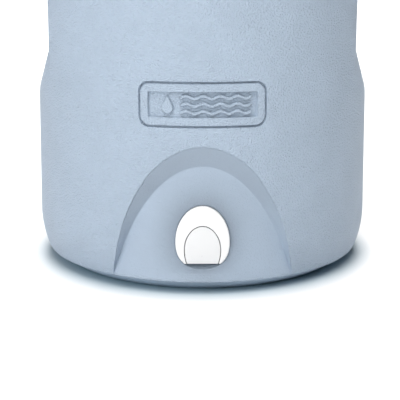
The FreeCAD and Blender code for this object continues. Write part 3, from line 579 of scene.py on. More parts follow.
def shell_net():
    """The whole moulded shell, outside and inside, as one closed skin."""
    angles = theta_lines()
    half = math.radians(PATCH_HALF_DEG)
    net = Net()
    low_heights = np.linspace(EDGE_Z, PATCH_TOP, 90)
    front_patch(net, angles, low_heights)
    behind = np.concatenate([angles[angles >= half - 1e-6], angles[angles <= -half + 1e-6]])
    net.grid(wall_rows(low_heights, behind))
    badge_low, badge_high = BADGE_Z - BADGE_HALF[1] - 0.002, BADGE_Z + BADGE_HALF[1] + 0.002
    fillet_z = LEDGE_Z - SHOULDER_FILLET
    high_heights = np.concatenate([
        np.linspace(PATCH_TOP, badge_low, 4)[:-1],
        np.linspace(badge_low, badge_high, 130),
        np.linspace(badge_high, SEAM_Z - SEAM_SOFT, 36)[1:],
    ])
    net.grid(wall_rows(high_heights, angles), closed=True)
    net.grid(rim_rows(angles, SEAM_Z, -1), closed=True)
    net.grid(underside_rows(angles), closed=True)
    net.grid(inside_rows(angles), closed=True)
    return net


def rim_rows(angles, z, side):
    """The edge of the wall at the seam: side is -1 below the seam and 1 above it."""
    plain = float(wall_radius(z))
    steps = [(0.0, SEAM_SOFT), (SEAM_SOFT * 0.3, SEAM_SOFT * 0.3), (SEAM_SOFT, 0.0), (WALL, 0.0)]
    rows = []
    for inset, back in steps:
        reach = [body_radius(a, z, plain) - inset for a in angles]
        rows.append([(r * math.sin(a), -r * math.cos(a), z + side * back) for r, a in zip(reach, angles)])
    return np.array(rows)


def collar_net(angles):
    """The collar: shoulder, ledge and neck outside, and the same a wall's thickness in."""
    low = SEAM_Z + SEAM_GAP
    net = Net()
    net.grid(rim_rows(angles, low, 1)[::-1], closed=True)
    net.grid(shoulder_rows(angles, low + SEAM_SOFT), closed=True)
    rows = []
    centre = (SHOULDER_RADIUS - SHOULDER_FILLET, LEDGE_Z - SHOULDER_FILLET)
    inner = [(SHOULDER_RADIUS - WALL, low)]
    inner += arc_points(centre, SHOULDER_FILLET - WALL, 15, 90, 7)
    for radius, z in inner:
        reach = [body_radius(a, z, radius + WALL) - WALL for a in angles]
        rows.append([(r * math.sin(a), -r * math.cos(a), z) for r, a in zip(reach, angles)])
    neck = NECK_RADIUS - WALL
    rows.extend(round_about_z([neck, neck], [LEDGE_Z - WALL, NECK_TOP], angles))
    net.grid(rows, closed=True)
    return net


def shoulder_rows(angles, low):
    """The rounded shoulder, the ledge and the neck."""
    centre = (SHOULDER_RADIUS - SHOULDER_FILLET, LEDGE_Z - SHOULDER_FILLET)
    start = math.degrees(math.asin((low - centre[1]) / SHOULDER_FILLET))
    rows = []
    last = None
    for radius, z in arc_points(centre, SHOULDER_FILLET, start, 90, 16):
        last = [body_radius(a, z, radius) for a in angles]
        rows.append([(r * math.sin(a), -r * math.cos(a), z) for r, a in zip(last, angles)])
    root = NECK_RADIUS + 0.0015
    for share in (0.12, 0.35, 0.65, 0.9, 1.0):
        ledge = [r + (root - r) * share for r in last]
        rows.append([(r * math.sin(a), -r * math.cos(a), LEDGE_Z) for r, a in zip(ledge, angles)])
    neck = arc_points((root, LEDGE_Z + 0.0015), 0.0015, 270, 180, 5)[1:]
    neck += [(NECK_RADIUS, NECK_TOP - 0.015), (NECK_RADIUS, NECK_TOP - 0.0006)]
    neck += [(NECK_RADIUS - 0.0006, NECK_TOP), (NECK_RADIUS - WALL, NECK_TOP)]
    turned = round_about_z([p[0] for p in neck], [p[1] for p in neck], angles)
    return np.concatenate([np.array(rows), turned])


def underside_rows(angles):
    """From the lower edge in under the jug: sloping underside, foot ring and raised panel."""
    slope = [(EDGE_RADIUS, EDGE_Z), (EDGE_RADIUS - 0.0005, EDGE_Z - 0.0008)]
    run, rise = FOOT_RADIUS - EDGE_RADIUS, -EDGE_Z
    slope += [(EDGE_RADIUS + run * s, EDGE_Z + rise * s) for s in (0.2, 0.5, 0.8, 0.93)]
    ring = [(FOOT_RADIUS, 0.0003), (FOOT_RADIUS - 0.001, 0.0), (FOOT_INNER + 0.001, 0.0)]
    ring += [(FOOT_INNER - 0.0008, 0.0008), (FOOT_INNER - PANEL_Z + 0.001, PANEL_Z - 0.0006)]
    panel = [(FOOT_INNER - PANEL_Z - 0.001, PANEL_Z), (0.05, PANEL_Z), (PLUG_HOLE, PANEL_Z)]
    hole = [(PLUG_HOLE, PANEL_Z + WALL)]
    outline = slope + ring + panel + hole
    return round_about_z([p[0] for p in outline], [p[1] for p in outline], angles)


def inside_rows(angles):
    """The shell's inner face, a wall's thickness in, from the base's hole up to the neck."""
    rows = []
    base = [(PLUG_HOLE, PANEL_Z + WALL), (FOOT_INNER - PANEL_Z, PANEL_Z + WALL)]
    base += [(FOOT_INNER + 0.001, WALL), (FOOT_RADIUS - 0.001, WALL)]
    rows.extend(round_about_z([p[0] for p in base], [p[1] for p in base], angles))
    for z in np.linspace(EDGE_Z + 0.003, SEAM_Z, 50):
        row = []
        for angle in angles:
            radius = body_radius(angle, z, float(wall_radius(z)))
            if abs(angle) < math.radians(PATCH_HALF_DEG) and z < PATCH_TOP:
                radius = min(radius, float(floor_radius(z)))
                if abs(angle) < 0.2 and z < TAP_Z + TAP_UP + 0.006:
                    radius = -POCKET_FLOOR_Y
            radius -= WALL
            row.append((radius * math.sin(angle), -radius * math.cos(angle), z))
        rows.append(row)
    return np.array(rows)


def make_shell(material):
    net = shell_net()
    shell = mesh_object("shell_skin", net.verts, net.faces, material)
    smooth_area = shell.data.attributes.new("recess", "FLOAT", "POINT")
    shade = shell.data.attributes.new("shade", "FLOAT", "POINT")
    for index, vertex in enumerate(shell.data.vertices):
        polished = recess_share(vertex.co)
        # painted shade: the halo round the tap, the arch's band, the badge's creases, the recess and the
        # underside
        marks = max(tap_shade(vertex.co), band_shade(vertex.co), badge_shade(vertex.co))
        smooth_area.data[index].value = polished
        shade.data[index].value = marks + RECESS_PAINTED_SHADE * polished
    shade_by_angle(shell, 35)
    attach(shell, "jug")
    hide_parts("outer_shell")
    return shell


def make_collar(material):
    net = collar_net(theta_lines()[::2])
    collar = mesh_object("collar_skin", net.verts, net.faces, material)
    shade_by_angle(collar, 35)
    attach(collar, "jug")
    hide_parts("neck_collar")
    return collar


def recess_share(place):
    """1 where the mould is polished, in the arch recess and underneath, and 0 on the grained wall."""
    angle = math.atan2(place.x, -place.y)
    radius = math.hypot(place.x, place.y)
    if place.z < EDGE_Z - 0.0005:
        return 1.0
    deep = radius < float(wall_radius(place.z)) - 0.0004
    return 1.0 if deep and place.z < ARCH_OUTER[1] and abs(angle) < math.radians(PATCH_HALF_DEG) else 0.0


def tap_shade(place):
    """How much painted shade the shell gets near the tap's rim: a soft dark halo where the polished dish runs
    in under it.
    """
    if place.y > 0 or place.z > ARCH_OUTER[1]:
        return 0.0
    across, up = abs(place.x) / TAP_HALF, (place.z - TAP_Z) / (TAP_UP if place.z > TAP_Z else TAP_DOWN)
    away = max(math.hypot(across, up) - 1, 0) * TAP_HALF
    return DISH_SHADE * math.exp(-(away / DISH_SHADE_WIDTH) ** 1.2)


def badge_shade(place):
    """How much painted shade the shell gets in the creases of the badge."""
    along = math.atan2(place.x, -place.y) * math.hypot(place.x, place.y)
    if abs(along) > BADGE_HALF[0] + BADGE_STEP or abs(place.z - BADGE_Z) > BADGE_HALF[1] + BADGE_STEP:
        return 0.0
    here = badge_height(along, place.z)
    around = 0.0
    for i, j in ((1, 0), (-1, 0), (0, 1), (0, -1)):
        around += badge_height(along + BADGE_STEP * i, place.z + BADGE_STEP * j) / 4
    return CREASE_SHADE * smooth_step((around - here) / CREASE_RISE)


def band_shade(place):
    """How much painted shade the shell gets on the arch's sloping band."""
    angle = math.atan2(place.x, -place.y)
    radius = math.hypot(place.x, place.y)
    low, high = float(floor_radius(place.z)), float(wall_radius(place.z))
    if abs(angle) > math.radians(PATCH_HALF_DEG) or not ARCH_FOOT_Z < place.z < ARCH_OUTER[1]:
        return 0.0
    if not in_arch(ARCH_OUTER, angle, place.z, high) or high - low < BAND_EDGE:
        return 0.0
    level = smooth_step((place.z - BAND_SHADE_Z[0]) / (BAND_SHADE_Z[1] - BAND_SHADE_Z[0]))
    edges = smooth_step((radius - low) / BAND_EDGE) * smooth_step((high - radius) / BAND_EDGE)
    return BAND_SHADE * level * edges


# ---------------------------------------------------------------- swept and turned pieces

def rounded_box_section(half_width, half_height, corner, count=6):
    """A closed rounded rectangle, anticlockwise, as (across, up) points."""
    corner = min(corner, half_width, half_height)
    points = []
    for sign_x, sign_z, start in ((1, 1, 0), (-1, 1, 90), (-1, -1, 180), (1, -1, 270)):
        centre = (sign_x * (half_width - corner), sign_z * (half_height - corner))
        points += arc_points(centre, corner, start, start + 90, count)
    return points


def swept(net, path, sections):
    """Joins one closed section per path point and caps both ends. Sections stand upright on the path."""
    path = np.asarray(path, float)
    rings = []
    for index, place in enumerate(path):
        before, after = path[max(index - 1, 0)], path[min(index + 1, len(path) - 1)]
        ahead = after - before
        ahead[2] = 0
        ahead /= np.linalg.norm(ahead)
        side = np.array([ahead[1], -ahead[0], 0.0])
        rings.append([place + side * w + np.array([0, 0, h]) for w, h in sections[index]])
    net.closed_tube(rings)


def turned_piece(net, outline, angles, axis_to_world=lambda p: p):
    """A solid of revolution from a closed outline of (radius, along) points."""
    loop = list(outline) + [outline[0]]
    points = round_about_z([p[0] for p in loop], [p[1] for p in loop], angles)
    net.grid(axis_to_world(points), closed=True)


def full_circle(count):
    return np.linspace(-math.pi, math.pi, count, endpoint=False)


def soft_corner(before, here, after, radius, count):
    """A small arc-like curve in place of a corner, which starts and ends within its two sides."""
    before, here, after = np.array(before, float), np.array(here, float), np.array(after, float)
    into, out = before - here, after - here
    reach_in = min(radius, np.linalg.norm(into) * 0.45)
    reach_out = min(radius, np.linalg.norm(out) * 0.45)
    start = here + into / np.linalg.norm(into) * reach_in
    end = here + out / np.linalg.norm(out) * reach_out
    return [(1 - t) ** 2 * start + 2 * t * (1 - t) * here + t ** 2 * end for t in np.linspace(0, 1, count)]


def soft_corners(points, radius, count=4):
    """A closed outline with each corner rounded."""
    rounded = []
    for index, here in enumerate(points):
        rounded += soft_corner(points[index - 1], here, points[(index + 1) % len(points)], radius, count)
    return rounded


# ---------------------------------------------------------------- tap

def egg_reach(direction, from_z, half, up, down, centre_z, power):
    """Distance from (0, from_z) to an egg-shaped outline along a direction."""
    low, high = 0.0, 0.05
    for _ in range(40):
        middle = (low + high) / 2
        x = abs(middle * math.cos(direction)) / half
        z = from_z + middle * math.sin(direction) - centre_z
        level = x ** 2 + (z / up) ** 2 if z > 0 else x ** power + abs(z / down) ** power
        low, high = (middle, high) if level < 1 else (low, middle)
    return low


def face_outline(direction, shrink=0.0):
    reach = egg_reach(
        direction, BUTTON_Z, TAP_HALF - shrink, TAP_UP - shrink, TAP_DOWN - shrink, TAP_Z, TAP_LOWER_POWER
    )
    return np.array([reach * math.cos(direction), BUTTON_Z + reach * math.sin(direction)])


def hole_outline(direction, grow=0.0):
    reach = egg_reach(
        direction, BUTTON_Z, BUTTON_HALF + grow, BUTTON_UP + grow, BUTTON_DOWN + grow, BUTTON_Z, 2.0
    )
    return np.array([reach * math.cos(direction), BUTTON_Z + reach * math.sin(direction)])


def cut_direction(outline):
    """Direction below the level at which an outline reaches the tap's flat lower edge."""
    low, high = -math.pi / 2, 0.0
    for _ in range(40):
        middle = (low + high) / 2
        low, high = (middle, high) if outline(middle)[1] < TAP_CUT_Z else (low, middle)
    return high


def tap_face(net):
    """The face: a horseshoe whose edges are rounded, a little domed, open at its flat foot."""
    outer_start = cut_direction(lambda a: face_outline(a, FACE_INSET))
    inner_start = cut_direction(lambda a: hole_outline(a, BUTTON_GAP))
    rings = []
    for share in np.linspace(0, 1, 97):
        outer = face_outline(outer_start + share * (math.pi - 2 * outer_start), FACE_INSET)
        inner = hole_outline(inner_start + share * (math.pi - 2 * inner_start), BUTTON_GAP)
        width = np.linalg.norm(outer - inner)
        profile = [(0.0, FACE_DEPTH), (0.0, FACE_EDGE)]
        profile += [(FACE_EDGE - w, FACE_EDGE - d) for w, d in arc_points((0, 0), FACE_EDGE, 0, 90, 7)[1:]]
        profile += [(width * s, 0.0) for s in (0.35, 0.65)]
        lip = arc_points((0, 0), HOLE_EDGE, 90, 0, 5)
        profile += [(width - HOLE_EDGE + w, HOLE_EDGE - d) for w, d in lip]
        profile += [(width, GAP_SHADE_DEPTH), (width, FACE_DEPTH)]
        ring = []
        for inwards, depth in profile:
            place = outer + (inner - outer) * min(inwards / width, 1)
            dome = DOME * (1 - ((place[1] - TAP_Z) / TAP_UP) ** 2) * (1 - (place[0] / TAP_HALF) ** 2)
            ring.append((place[0], TAP_FACE_Y + depth + (DOME - dome) * (1 - depth / FACE_DEPTH), place[1]))
        rings.append(ring)
    net.closed_tube(rings)


def chamber(net):
    """The wall behind the face that turns the stream down, and the housing's back wall."""
    outer_start = cut_direction(lambda a: face_outline(a, CHAMBER_INSET))
    rings = []
    for share in np.linspace(0, 1, 65):
        outer = face_outline(outer_start + share * (math.pi - 2 * outer_start), CHAMBER_INSET)
        inward = np.array([0.0, TAP_Z]) - outer
        inner = outer + inward / np.linalg.norm(inward) * CHAMBER_WALL
        clear = hole_outline(math.atan2(inner[1] - BUTTON_Z, inner[0]), BUTTON_GAP)
        if math.hypot(inner[0], inner[1] - BUTTON_Z) < math.hypot(clear[0], clear[1] - BUTTON_Z):
            inner = clear
        front, back = TAP_FACE_Y + FACE_DEPTH, TAP_BACK_Y + 0.0001
        rings.append([
            (outer[0], front, outer[1]), (inner[0], front, inner[1]),
            (inner[0], back, inner[1]), (outer[0], back, outer[1]),
        ])
    net.closed_tube(rings)
    outline = [r[3] for r in rings]
    centre = np.array([0.0, TAP_BACK_Y, BARREL_Z])
    loops = []
    for y in (TAP_BACK_Y, TAP_BACK_Y + BACK_WALL):
        loops.append(np.array([(x, y, z) for x, _, z in outline]))
    hole = bore_loop(loops[0], centre, BARREL_BORE)
    hole_back = hole.copy()
    hole_back[:, 1] = TAP_BACK_Y + BACK_WALL
    net.grid([hole, loops[0], loops[1], hole_back, hole], closed=True)


def bore_loop(loop, centre, radius):
    """Points of a round hole that face the points of a loop round it."""
    around = loop - centre
    angles = np.arctan2(around[:, 2], around[:, 0])
    across = radius * np.cos(angles)
    return np.stack([across, np.full(len(loop), centre[1]), centre[2] + radius * np.sin(angles)], axis=-1)


def about_barrel(points):
    """Takes points turned round Z onto the barrel's axis, which runs along +Y."""
    x, y, z = points[..., 0], points[..., 1], points[..., 2]
    return np.stack([x, z, BARREL_Z - y], axis=-1)


def barrel(net):
    """The threaded barrel that passes through the shell, the foam and the tank's wall."""
    start = TAP_BACK_Y + BACK_WALL - 0.0003
    outline = [(BARREL_BORE, start), (BARREL_RADIUS, start)]
    turns = int((BARREL_END_Y - BARREL_BEVEL - THREAD_START_Y) / THREAD_PITCH)
    for i in range(turns):
        y = THREAD_START_Y + i * THREAD_PITCH
        root, crest = y + THREAD_PITCH * 0.25, y + THREAD_PITCH * 0.75
        outline += [(BARREL_RADIUS - THREAD_DEPTH, root), (BARREL_RADIUS, crest)]
    outline += [(BARREL_RADIUS - BARREL_BEVEL, BARREL_END_Y), (BARREL_BORE, BARREL_END_Y)]
    turned_piece(net, outline, full_circle(64), about_barrel)
    guide_end = TAP_BACK_Y + STEM_GUIDE_LENGTH
    guide = soft_corners(
        [(STEM_HOLE, TAP_BACK_Y), (STEM_GUIDE, TAP_BACK_Y), (STEM_GUIDE, guide_end), (STEM_HOLE, guide_end)],
        0.0004,
    )
    turned_piece(net, guide, full_circle(32), about_barrel)
    for i in range(SPOKE_COUNT):
        spoke(net, math.radians(90 + 360 / SPOKE_COUNT * i))


def spoke(net, angle):
    """A flat arm between the stem guide and the bore."""
    across = rounded_box_section(SPOKE_HALF[0], SPOKE_HALF[1], 0.0003, 3)
    out = np.array([math.cos(angle), 0.0, math.sin(angle)])
    side = np.array([-math.sin(angle), 0.0, math.cos(angle)])
    rings = []
    for reach in (STEM_GUIDE - 0.0006, BARREL_BORE + 0.0005):
        middle = np.array([0.0, TAP_BACK_Y + SPOKE_HALF[1], BARREL_Z]) + out * reach
        rings.append([middle + side * w + np.array([0.0, d, 0.0]) for w, d in across])
    net.closed_tube(rings)


def make_tap(housing_material, button_material):
    net = Net()
    tap_face(net)
    chamber(net)
    barrel(net)
    housing = mesh_object("tap_housing", net.verts, net.faces, housing_material, merge=1e-7)
    # painted shade in the gap round the button
    mark_gap_shade(housing, TAP_FACE_Y)
    shade_by_angle(housing, 38)
    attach(housing, "jug")
    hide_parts("faucet_housing")
    button = make_button(button_material)
    return housing, button


def mark_gap_shade(obj, front_y):
    """Paints shade on the walls of the narrow gap round the button, where the gap lies in shadow."""
    shade = obj.data.attributes.new("shade", "FLOAT", "POINT")
    reach = BUTTON_GAP * 1.5
    for index, vertex in enumerate(obj.data.vertices):
        x, y, z = vertex.co
        edge = hole_outline(math.atan2(z - BUTTON_Z, x))
        beside = abs(math.hypot(x, z - BUTTON_Z) - math.hypot(edge[0], edge[1] - BUTTON_Z)) < reach
        deep = smooth_step((y - front_y - GAP_SHADE_DEPTH / 2) / (GAP_SHADE_DEPTH / 2))
        shade.data[index].value = GAP_PAINTED_SHADE * deep if beside and y < BUTTON_SKIRT_Y + 0.001 else 0.0


def make_button(material):
    """The thumb button: an oval with a flat foot, a soft rim and a gentle dome."""
    start = cut_direction(hole_outline)
    directions = start + np.linspace(0, 1, 81) * (math.pi - 2 * start)
    arc = [hole_outline(a) for a in directions]
    foot = [np.array([x, TAP_CUT_Z]) for x in np.linspace(arc[-1][0], arc[0][0], 20)[1:-1]]
    outline = np.array(arc + foot)
    centre = np.array([0.0, BUTTON_Z + 0.001])
    rings = []
    rim = [(BUTTON_EDGE - w, BUTTON_EDGE - d) for w, d in arc_points((0, 0), BUTTON_EDGE, 90, 0, 7)]
    for scale in BUTTON_RINGS:
        flat = centre + (outline - centre) * scale
        crown = BUTTON_DOME * (1 - scale ** 2)
        rings.append([(x, BUTTON_FRONT_Y + BUTTON_DOME - crown, z) for x, z in flat])
    for inset, depth in rim:
        spread = centre + (outline - centre) * (1 - inset / BUTTON_REACH)
        rings.append([(x, BUTTON_FRONT_Y + BUTTON_DOME + depth, z) for x, z in spread])
    rings.append([(x, BUTTON_FRONT_Y + GAP_SHADE_DEPTH, z) for x, z in outline])
    rings.append([(x, BUTTON_SKIRT_Y, z) for x, z in outline])
    hollow = [hole_outline(a, -BUTTON_WALL) for a in directions]
    hollow += [np.array([x, TAP_CUT_Z]) for x in np.linspace(hollow[-1][0], hollow[0][0], 20)[1:-1]]
    hollow = [(x, max(z, TAP_CUT_Z + BUTTON_FOOT_WALL)) for x, z in hollow]
    rings.append([(x, BUTTON_SKIRT_Y, z) for x, z in hollow])
    rings.append([(x, BUTTON_CAP_Y, z) for x, z in hollow])
    net = Net()
    net.closed_tube(rings)
    hub_inner, hub_outer = BUTTON_HUB
    hub_start, hub_end = BUTTON_CAP_Y - BUTTON_EDGE / 2, BUTTON_SKIRT_Y
    hub = [(hub_inner, hub_start), (hub_outer, hub_start), (hub_outer, hub_end), (hub_inner, hub_end)]
    turned_piece(net, soft_corners(hub, BUTTON_EDGE / 3), full_circle(40), about_barrel)
    button = mesh_object("thumb_button", net.verts, net.faces, material, merge=1e-7)
    # painted shade in the gap round the button
    mark_gap_shade(button, BUTTON_FRONT_Y)
    shade_by_angle(button, 45)
    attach(button, "button")
    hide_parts("faucet_button")
    return button


def make_spring(material):
    """A compression coil behind the button, reaching back to the housing."""
    steps = np.linspace(0, 1, SPRING_TURNS * 40 + 1)
    start, end = SPRING_SPAN[0] + SPRING_WIRE, SPRING_SPAN[1] - SPRING_WIRE
    rings = []
    for share in steps:
        turn = share * SPRING_TURNS * math.tau
        out = np.array([math.cos(turn), 0.0, math.sin(turn)])
        middle = np.array([0.0, start + (end - start) * share, BARREL_Z]) + out * SPRING_RADIUS
        along = np.array([0.0, 1.0, 0.0])
        wire = np.linspace(0, math.tau, 12, endpoint=False)
        rings.append([middle + SPRING_WIRE * (out * math.cos(a) + along * math.sin(a)) for a in wire])
    net = Net()
    net.closed_tube(rings)
    spring = mesh_object("coil_spring", net.verts, net.faces, material, merge=1e-7)
    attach(spring, "jug")
    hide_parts("return_spring")
    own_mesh(spring)
    return spring


# ---------------------------------------------------------------- screw lugs and ears

def screw_lugs(net, low_radius, high_radius, low_z):
    """Four bars that climb at the thread's lead, with rounded edges and ends."""
    middle = (low_radius + high_radius) / 2
    half = (high_radius - low_radius) / 2
    for i in range(LUG_COUNT):
        path, sections = [], []
        for share in np.linspace(0, 1, 25):
            angle = math.radians(360 / LUG_COUNT * i + LUG_ARC_DEG * share)
            z = low_z + LUG_LEAD * LUG_ARC_DEG / 360 * share + LUG_HEIGHT / 2
            path.append((middle * math.cos(angle), middle * math.sin(angle), z))
            end = min(share, 1 - share) * LUG_TAPER
            size = math.sqrt(max(1 - (1 - min(end, 1)) ** 2, LUG_END))
            sections.append(rounded_box_section(half, LUG_HEIGHT / 2 * size, LUG_ROUND, 4))
        swept(net, path, sections)


def make_neck_lugs(material):
    net = Net()
    screw_lugs(net, NECK_RADIUS - LUG_BITE, NECK_RADIUS + LUG_REACH, LUG_Z)
    lugs = mesh_object("neck_lugs", net.verts, net.faces, material, merge=1e-7)
    shade_by_angle(lugs, 45)
    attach(lugs, "jug")
    return lugs


def ear_outline(inset, count=40):
    """The ear seen from the side: upright sides that flare into the ledge, and a round top."""
    half = EAR_HALF - inset
    points = []
    for share in np.linspace(0, 1, 8):
        z = LEDGE_Z - EAR_SINK + (PIVOT_Z - LEDGE_Z + EAR_SINK) * share
        points.append((half + EAR_FLARE * (1 - share) ** 3, z))
    for a in np.linspace(0, 180, count)[1:-1]:
        points.append((half * math.cos(math.radians(a)), PIVOT_Z + half * math.sin(math.radians(a))))
    points += [(-y, z) for y, z in points[7::-1]]
    return points


def make_ears(material):
    net = Net()
    for side in (1, -1):
        depths = [(EAR_INNER_X, EAR_SOFT), (EAR_INNER_X + EAR_SOFT * 0.3, EAR_SOFT * 0.3),
                  (EAR_INNER_X + EAR_SOFT, 0.0), (EAR_OUTER_X - EAR_SOFT, 0.0),
                  (EAR_OUTER_X - EAR_SOFT * 0.3, EAR_SOFT * 0.3), (EAR_OUTER_X, EAR_SOFT)]
        loops = [[(side * x, y, z) for y, z in ear_outline(inset)] for x, inset in depths]
        holes = []
        for x in (EAR_INNER_X, EAR_OUTER_X):
            hole = []
            for _, y, z in loops[0]:
                a = math.atan2(z - PIVOT_Z, y)
                hole.append((side * x, EAR_HOLE * math.cos(a), PIVOT_Z + EAR_HOLE * math.sin(a)))
            holes.append(hole)
        net.grid([holes[0]] + loops + [holes[1], holes[0]], closed=True)
    ears = mesh_object("shell_ears", net.verts, net.faces, material, merge=1e-7)
    shade_by_angle(ears, 40)
    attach(ears, "jug")
    return ears


# ---------------------------------------------------------------- lid

def lid_outline():
    """Half section of the cover, from the middle of the top out, down, and back inside."""
    rim_in, rim_out, top = LID_RIM_INNER, LID_RIM_OUTER, LID_TOP_Z
    corners = [
        (rim_in - 0.002, top), (rim_in, LID_RIM_Z), (rim_out, LID_RIM_Z), LID_CROWN,
        (LID_RADIUS - 0.0012, LID_SHOULDER_Z + 0.0012), (LID_RADIUS, LID_SHOULDER_Z - 0.004),
        (LID_RADIUS, SKIRT_BOTTOM), (SKIRT_INNER, SKIRT_BOTTOM), (SKIRT_INNER, LID_SHOULDER_Z - 0.002),
        (LID_CROWN[0] - LID_WALL, LID_CROWN[1] - LID_WALL), (rim_out - LID_WALL, LID_RIM_Z - LID_WALL),
        (rim_in + 0.001, LID_RIM_Z - LID_WALL), (rim_in - 0.002, top - LID_WALL),
    ]
    rounds = [0.003, 0.002, 0.0025, 0.0008, 0.004, 0.004, 0.0008, 0.0005, 0.001, 0.001, 0.001, 0.001, 0.001]
    points = []
    for index, (corner, size) in enumerate(zip(corners, rounds)):
        before = (0.0, top) if index == 0 else corners[index - 1]
        after = (0.0, top - LID_WALL) if index == len(corners) - 1 else corners[index + 1]
        points += [tuple(p) for p in soft_corner(before, corner, after, size, 5)]
    return points


def make_lid(material):
    angles = full_circle(FLUTES * FLUTE_COLUMNS)
    outline = [(LID_MIDDLE, LID_TOP_Z)] + [(r, LID_TOP_Z) for r in (0.03, 0.06)]
    outline += lid_outline()
    outline += [(r, LID_TOP_Z - LID_WALL) for r in (0.06, 0.03, LID_MIDDLE)]
    outline = fill_long_steps(outline, LID_LONGEST_STEP)
    rows = []
    for radius, z in outline:
        row = []
        for angle in angles:
            depth = flute(angle, z) if radius > LID_RADIUS - FLUTE_WALL else 0.0
            r = radius - depth
            row.append((r * math.sin(angle), -r * math.cos(angle), z))
        rows.append(row)
    net = Net()
    net.closed_tube(rows)
    low_z = LUG_Z - LUG_HEIGHT - LUG_SEAT_GAP
    screw_lugs(net, SKIRT_INNER - LUG_REACH, SKIRT_INNER + LUG_BITE, low_z)
    lid = mesh_object("lid_cap", net.verts, net.faces, material, merge=1e-7)
    shade_by_angle(lid, 40)
    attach(lid, "lid")
    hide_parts("lid_cover")
    return lid


def fill_long_steps(outline, longest):
    """Adds points so that no step of an outline is longer than a length."""
    filled = [outline[0]]
    for here in outline[1:]:
        last = filled[-1]
        steps = max(1, math.ceil(math.dist(last, here) / longest))
        for i in range(1, steps + 1):
            filled.append(tuple(last[k] + (here[k] - last[k]) * i / steps for k in (0, 1)))
    return filled


def flute(angle, z):
    """Depth of the grip flutes at a direction, fading out in a round end at the top."""
    turn = angle / math.tau * FLUTES
    across = abs(turn - round(turn)) * 2
    groove = math.sqrt(max(1 - (across / FLUTE_HALF) ** 2, 0)) if across < FLUTE_HALF else 0.0
    end = min(max((FLUTE_TOP_Z - z) / FLUTE_END, 0), 1)
    return FLUTE_DEPTH * groove ** 1.2 * math.sqrt(1 - (1 - end) ** 2)


# ---------------------------------------------------------------- handle

def bail_path():
    """Points along the bail's middle line and how far along the grip each one is, in degrees."""
    offset = ARM_X - CORNER_RADIUS
    lift = BAIL_REACH - ARM_STRAIGHT
    radius = (lift ** 2 + offset ** 2 - CORNER_RADIUS ** 2) / (2 * (lift - CORNER_RADIUS))
    centre_y = BAIL_REACH - radius
    corner = math.atan2(ARM_STRAIGHT - centre_y, offset)
    right = [(ARM_X, y, PIVOT_Z) for y in np.linspace(0, ARM_STRAIGHT, 5)[:-1]]
    right += [
        (offset + CORNER_RADIUS * math.cos(a), ARM_STRAIGHT + CORNER_RADIUS * math.sin(a), PIVOT_Z)
        for a in np.linspace(0, corner, 22)[:-1]
    ]
    bar_angles = np.linspace(corner, math.pi - corner, 281)
    bar = [(radius * math.cos(a), centre_y + radius * math.sin(a), PIVOT_Z) for a in bar_angles]
    left = [(-x, y, z) for x, y, z in right[::-1]]
    turn = [90.0] * len(right) + [abs(math.degrees(a) - 90) for a in bar_angles] + [90.0] * len(left)
    return right + bar + left, turn


def make_handle(material):
    path, turn = bail_path()
    sections = []
    for degrees in turn:
        share = smooth_step((GRIP_ANGLE_DEG - degrees) / GRIP_TAPER_DEG)
        width = ARM_HALF[0] + (GRIP_HALF[0] - ARM_HALF[0]) * share
        height = ARM_HALF[1] + (GRIP_HALF[1] - ARM_HALF[1]) * share
        wave = 0.5 - 0.5 * math.cos(degrees / GRIP_ANGLE_DEG * GRIP_RIBS * math.tau / 2)
        rib = share * GRIP_RIB_DEPTH * wave
        corner = SECTION_ROUND + (GRIP_ROUND - SECTION_ROUND) * share
        sections.append(rounded_box_section(width - rib, height - rib, corner, 6))
    net = Net()
    swept(net, path, sections)
    for side in (1, -1):
        eye = soft_corners(
            [(EYE_HOLE, -ARM_HALF[0]), (EYE_RADIUS, -ARM_HALF[0]), (EYE_RADIUS, ARM_HALF[0]),
             (EYE_HOLE, ARM_HALF[0])], EYE_ROUND, 5,
        )
        turned_piece(net, eye, full_circle(56), lambda p: np.stack(
            [side * (ARM_X + p[..., 2]), p[..., 1], PIVOT_Z + p[..., 0]], axis=-1))
    handle = mesh_object("bail", net.verts, net.faces, material, merge=1e-7)
    shade_by_angle(handle, 45)
    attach(handle, "handle")
    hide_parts("handle_bail")
    return handle


# ---------------------------------------------------------------- materials

def new_material(name, colour, roughness):
    """A Principled material with its number sockets set, and handles for adding nodes."""
    material = bpy.data.materials.new(name)
    material.use_nodes = True
    nodes, links = material.node_tree.nodes, material.node_tree.links
    shader = nodes["Principled BSDF"]
    shader.inputs["Base Color"].default_value = (*colour, 1)
    shader.inputs["Roughness"].default_value = roughness
    return material, nodes, links, shader


def noise(nodes, links, scale, detail=3.0, roughness=0.55, distortion=0.0):
    """Solid noise in the object's own space. scale is in features per metre."""
    place = nodes.new("ShaderNodeTexCoord")
    texture = nodes.new("ShaderNodeTexNoise")
    texture.inputs["Scale"].default_value = scale
    texture.inputs["Detail"].default_value = detail
    texture.inputs["Roughness"].default_value = roughness
    texture.inputs["Distortion"].default_value = distortion
    links.new(place.outputs["Object"], texture.inputs["Vector"])
    return texture.outputs["Fac"]


def spread(nodes, links, value, from_low, from_high, to_low, to_high):
    """Maps one range of a value onto another, held at both ends."""
    node = nodes.new("ShaderNodeMapRange")
    for socket, number in zip(("From Min", "From Max", "To Min", "To Max"),
                              (from_low, from_high, to_low, to_high)):
        node.inputs[socket].default_value = number
    links.new(value, node.inputs["Value"])
    return node.outputs["Result"]


def tint(nodes, links, shader, factor, first, second):
    """Mixes two colours by a factor into the base colour."""
    mix = nodes.new("ShaderNodeMix")
    mix.data_type = "RGBA"
    mix.inputs[6].default_value = (*first, 1)
    mix.inputs[7].default_value = (*second, 1)
    links.new(factor, mix.inputs[0])
    links.new(mix.outputs[2], shader.inputs["Base Color"])
    return mix


def towards(nodes, links, shader, colour_socket, factor, second):
    """Mixes a colour that comes from a node towards a plain one, into the base colour."""
    mix = tint(nodes, links, shader, factor, (0, 0, 0), second)
    links.new(colour_socket, mix.inputs[6])


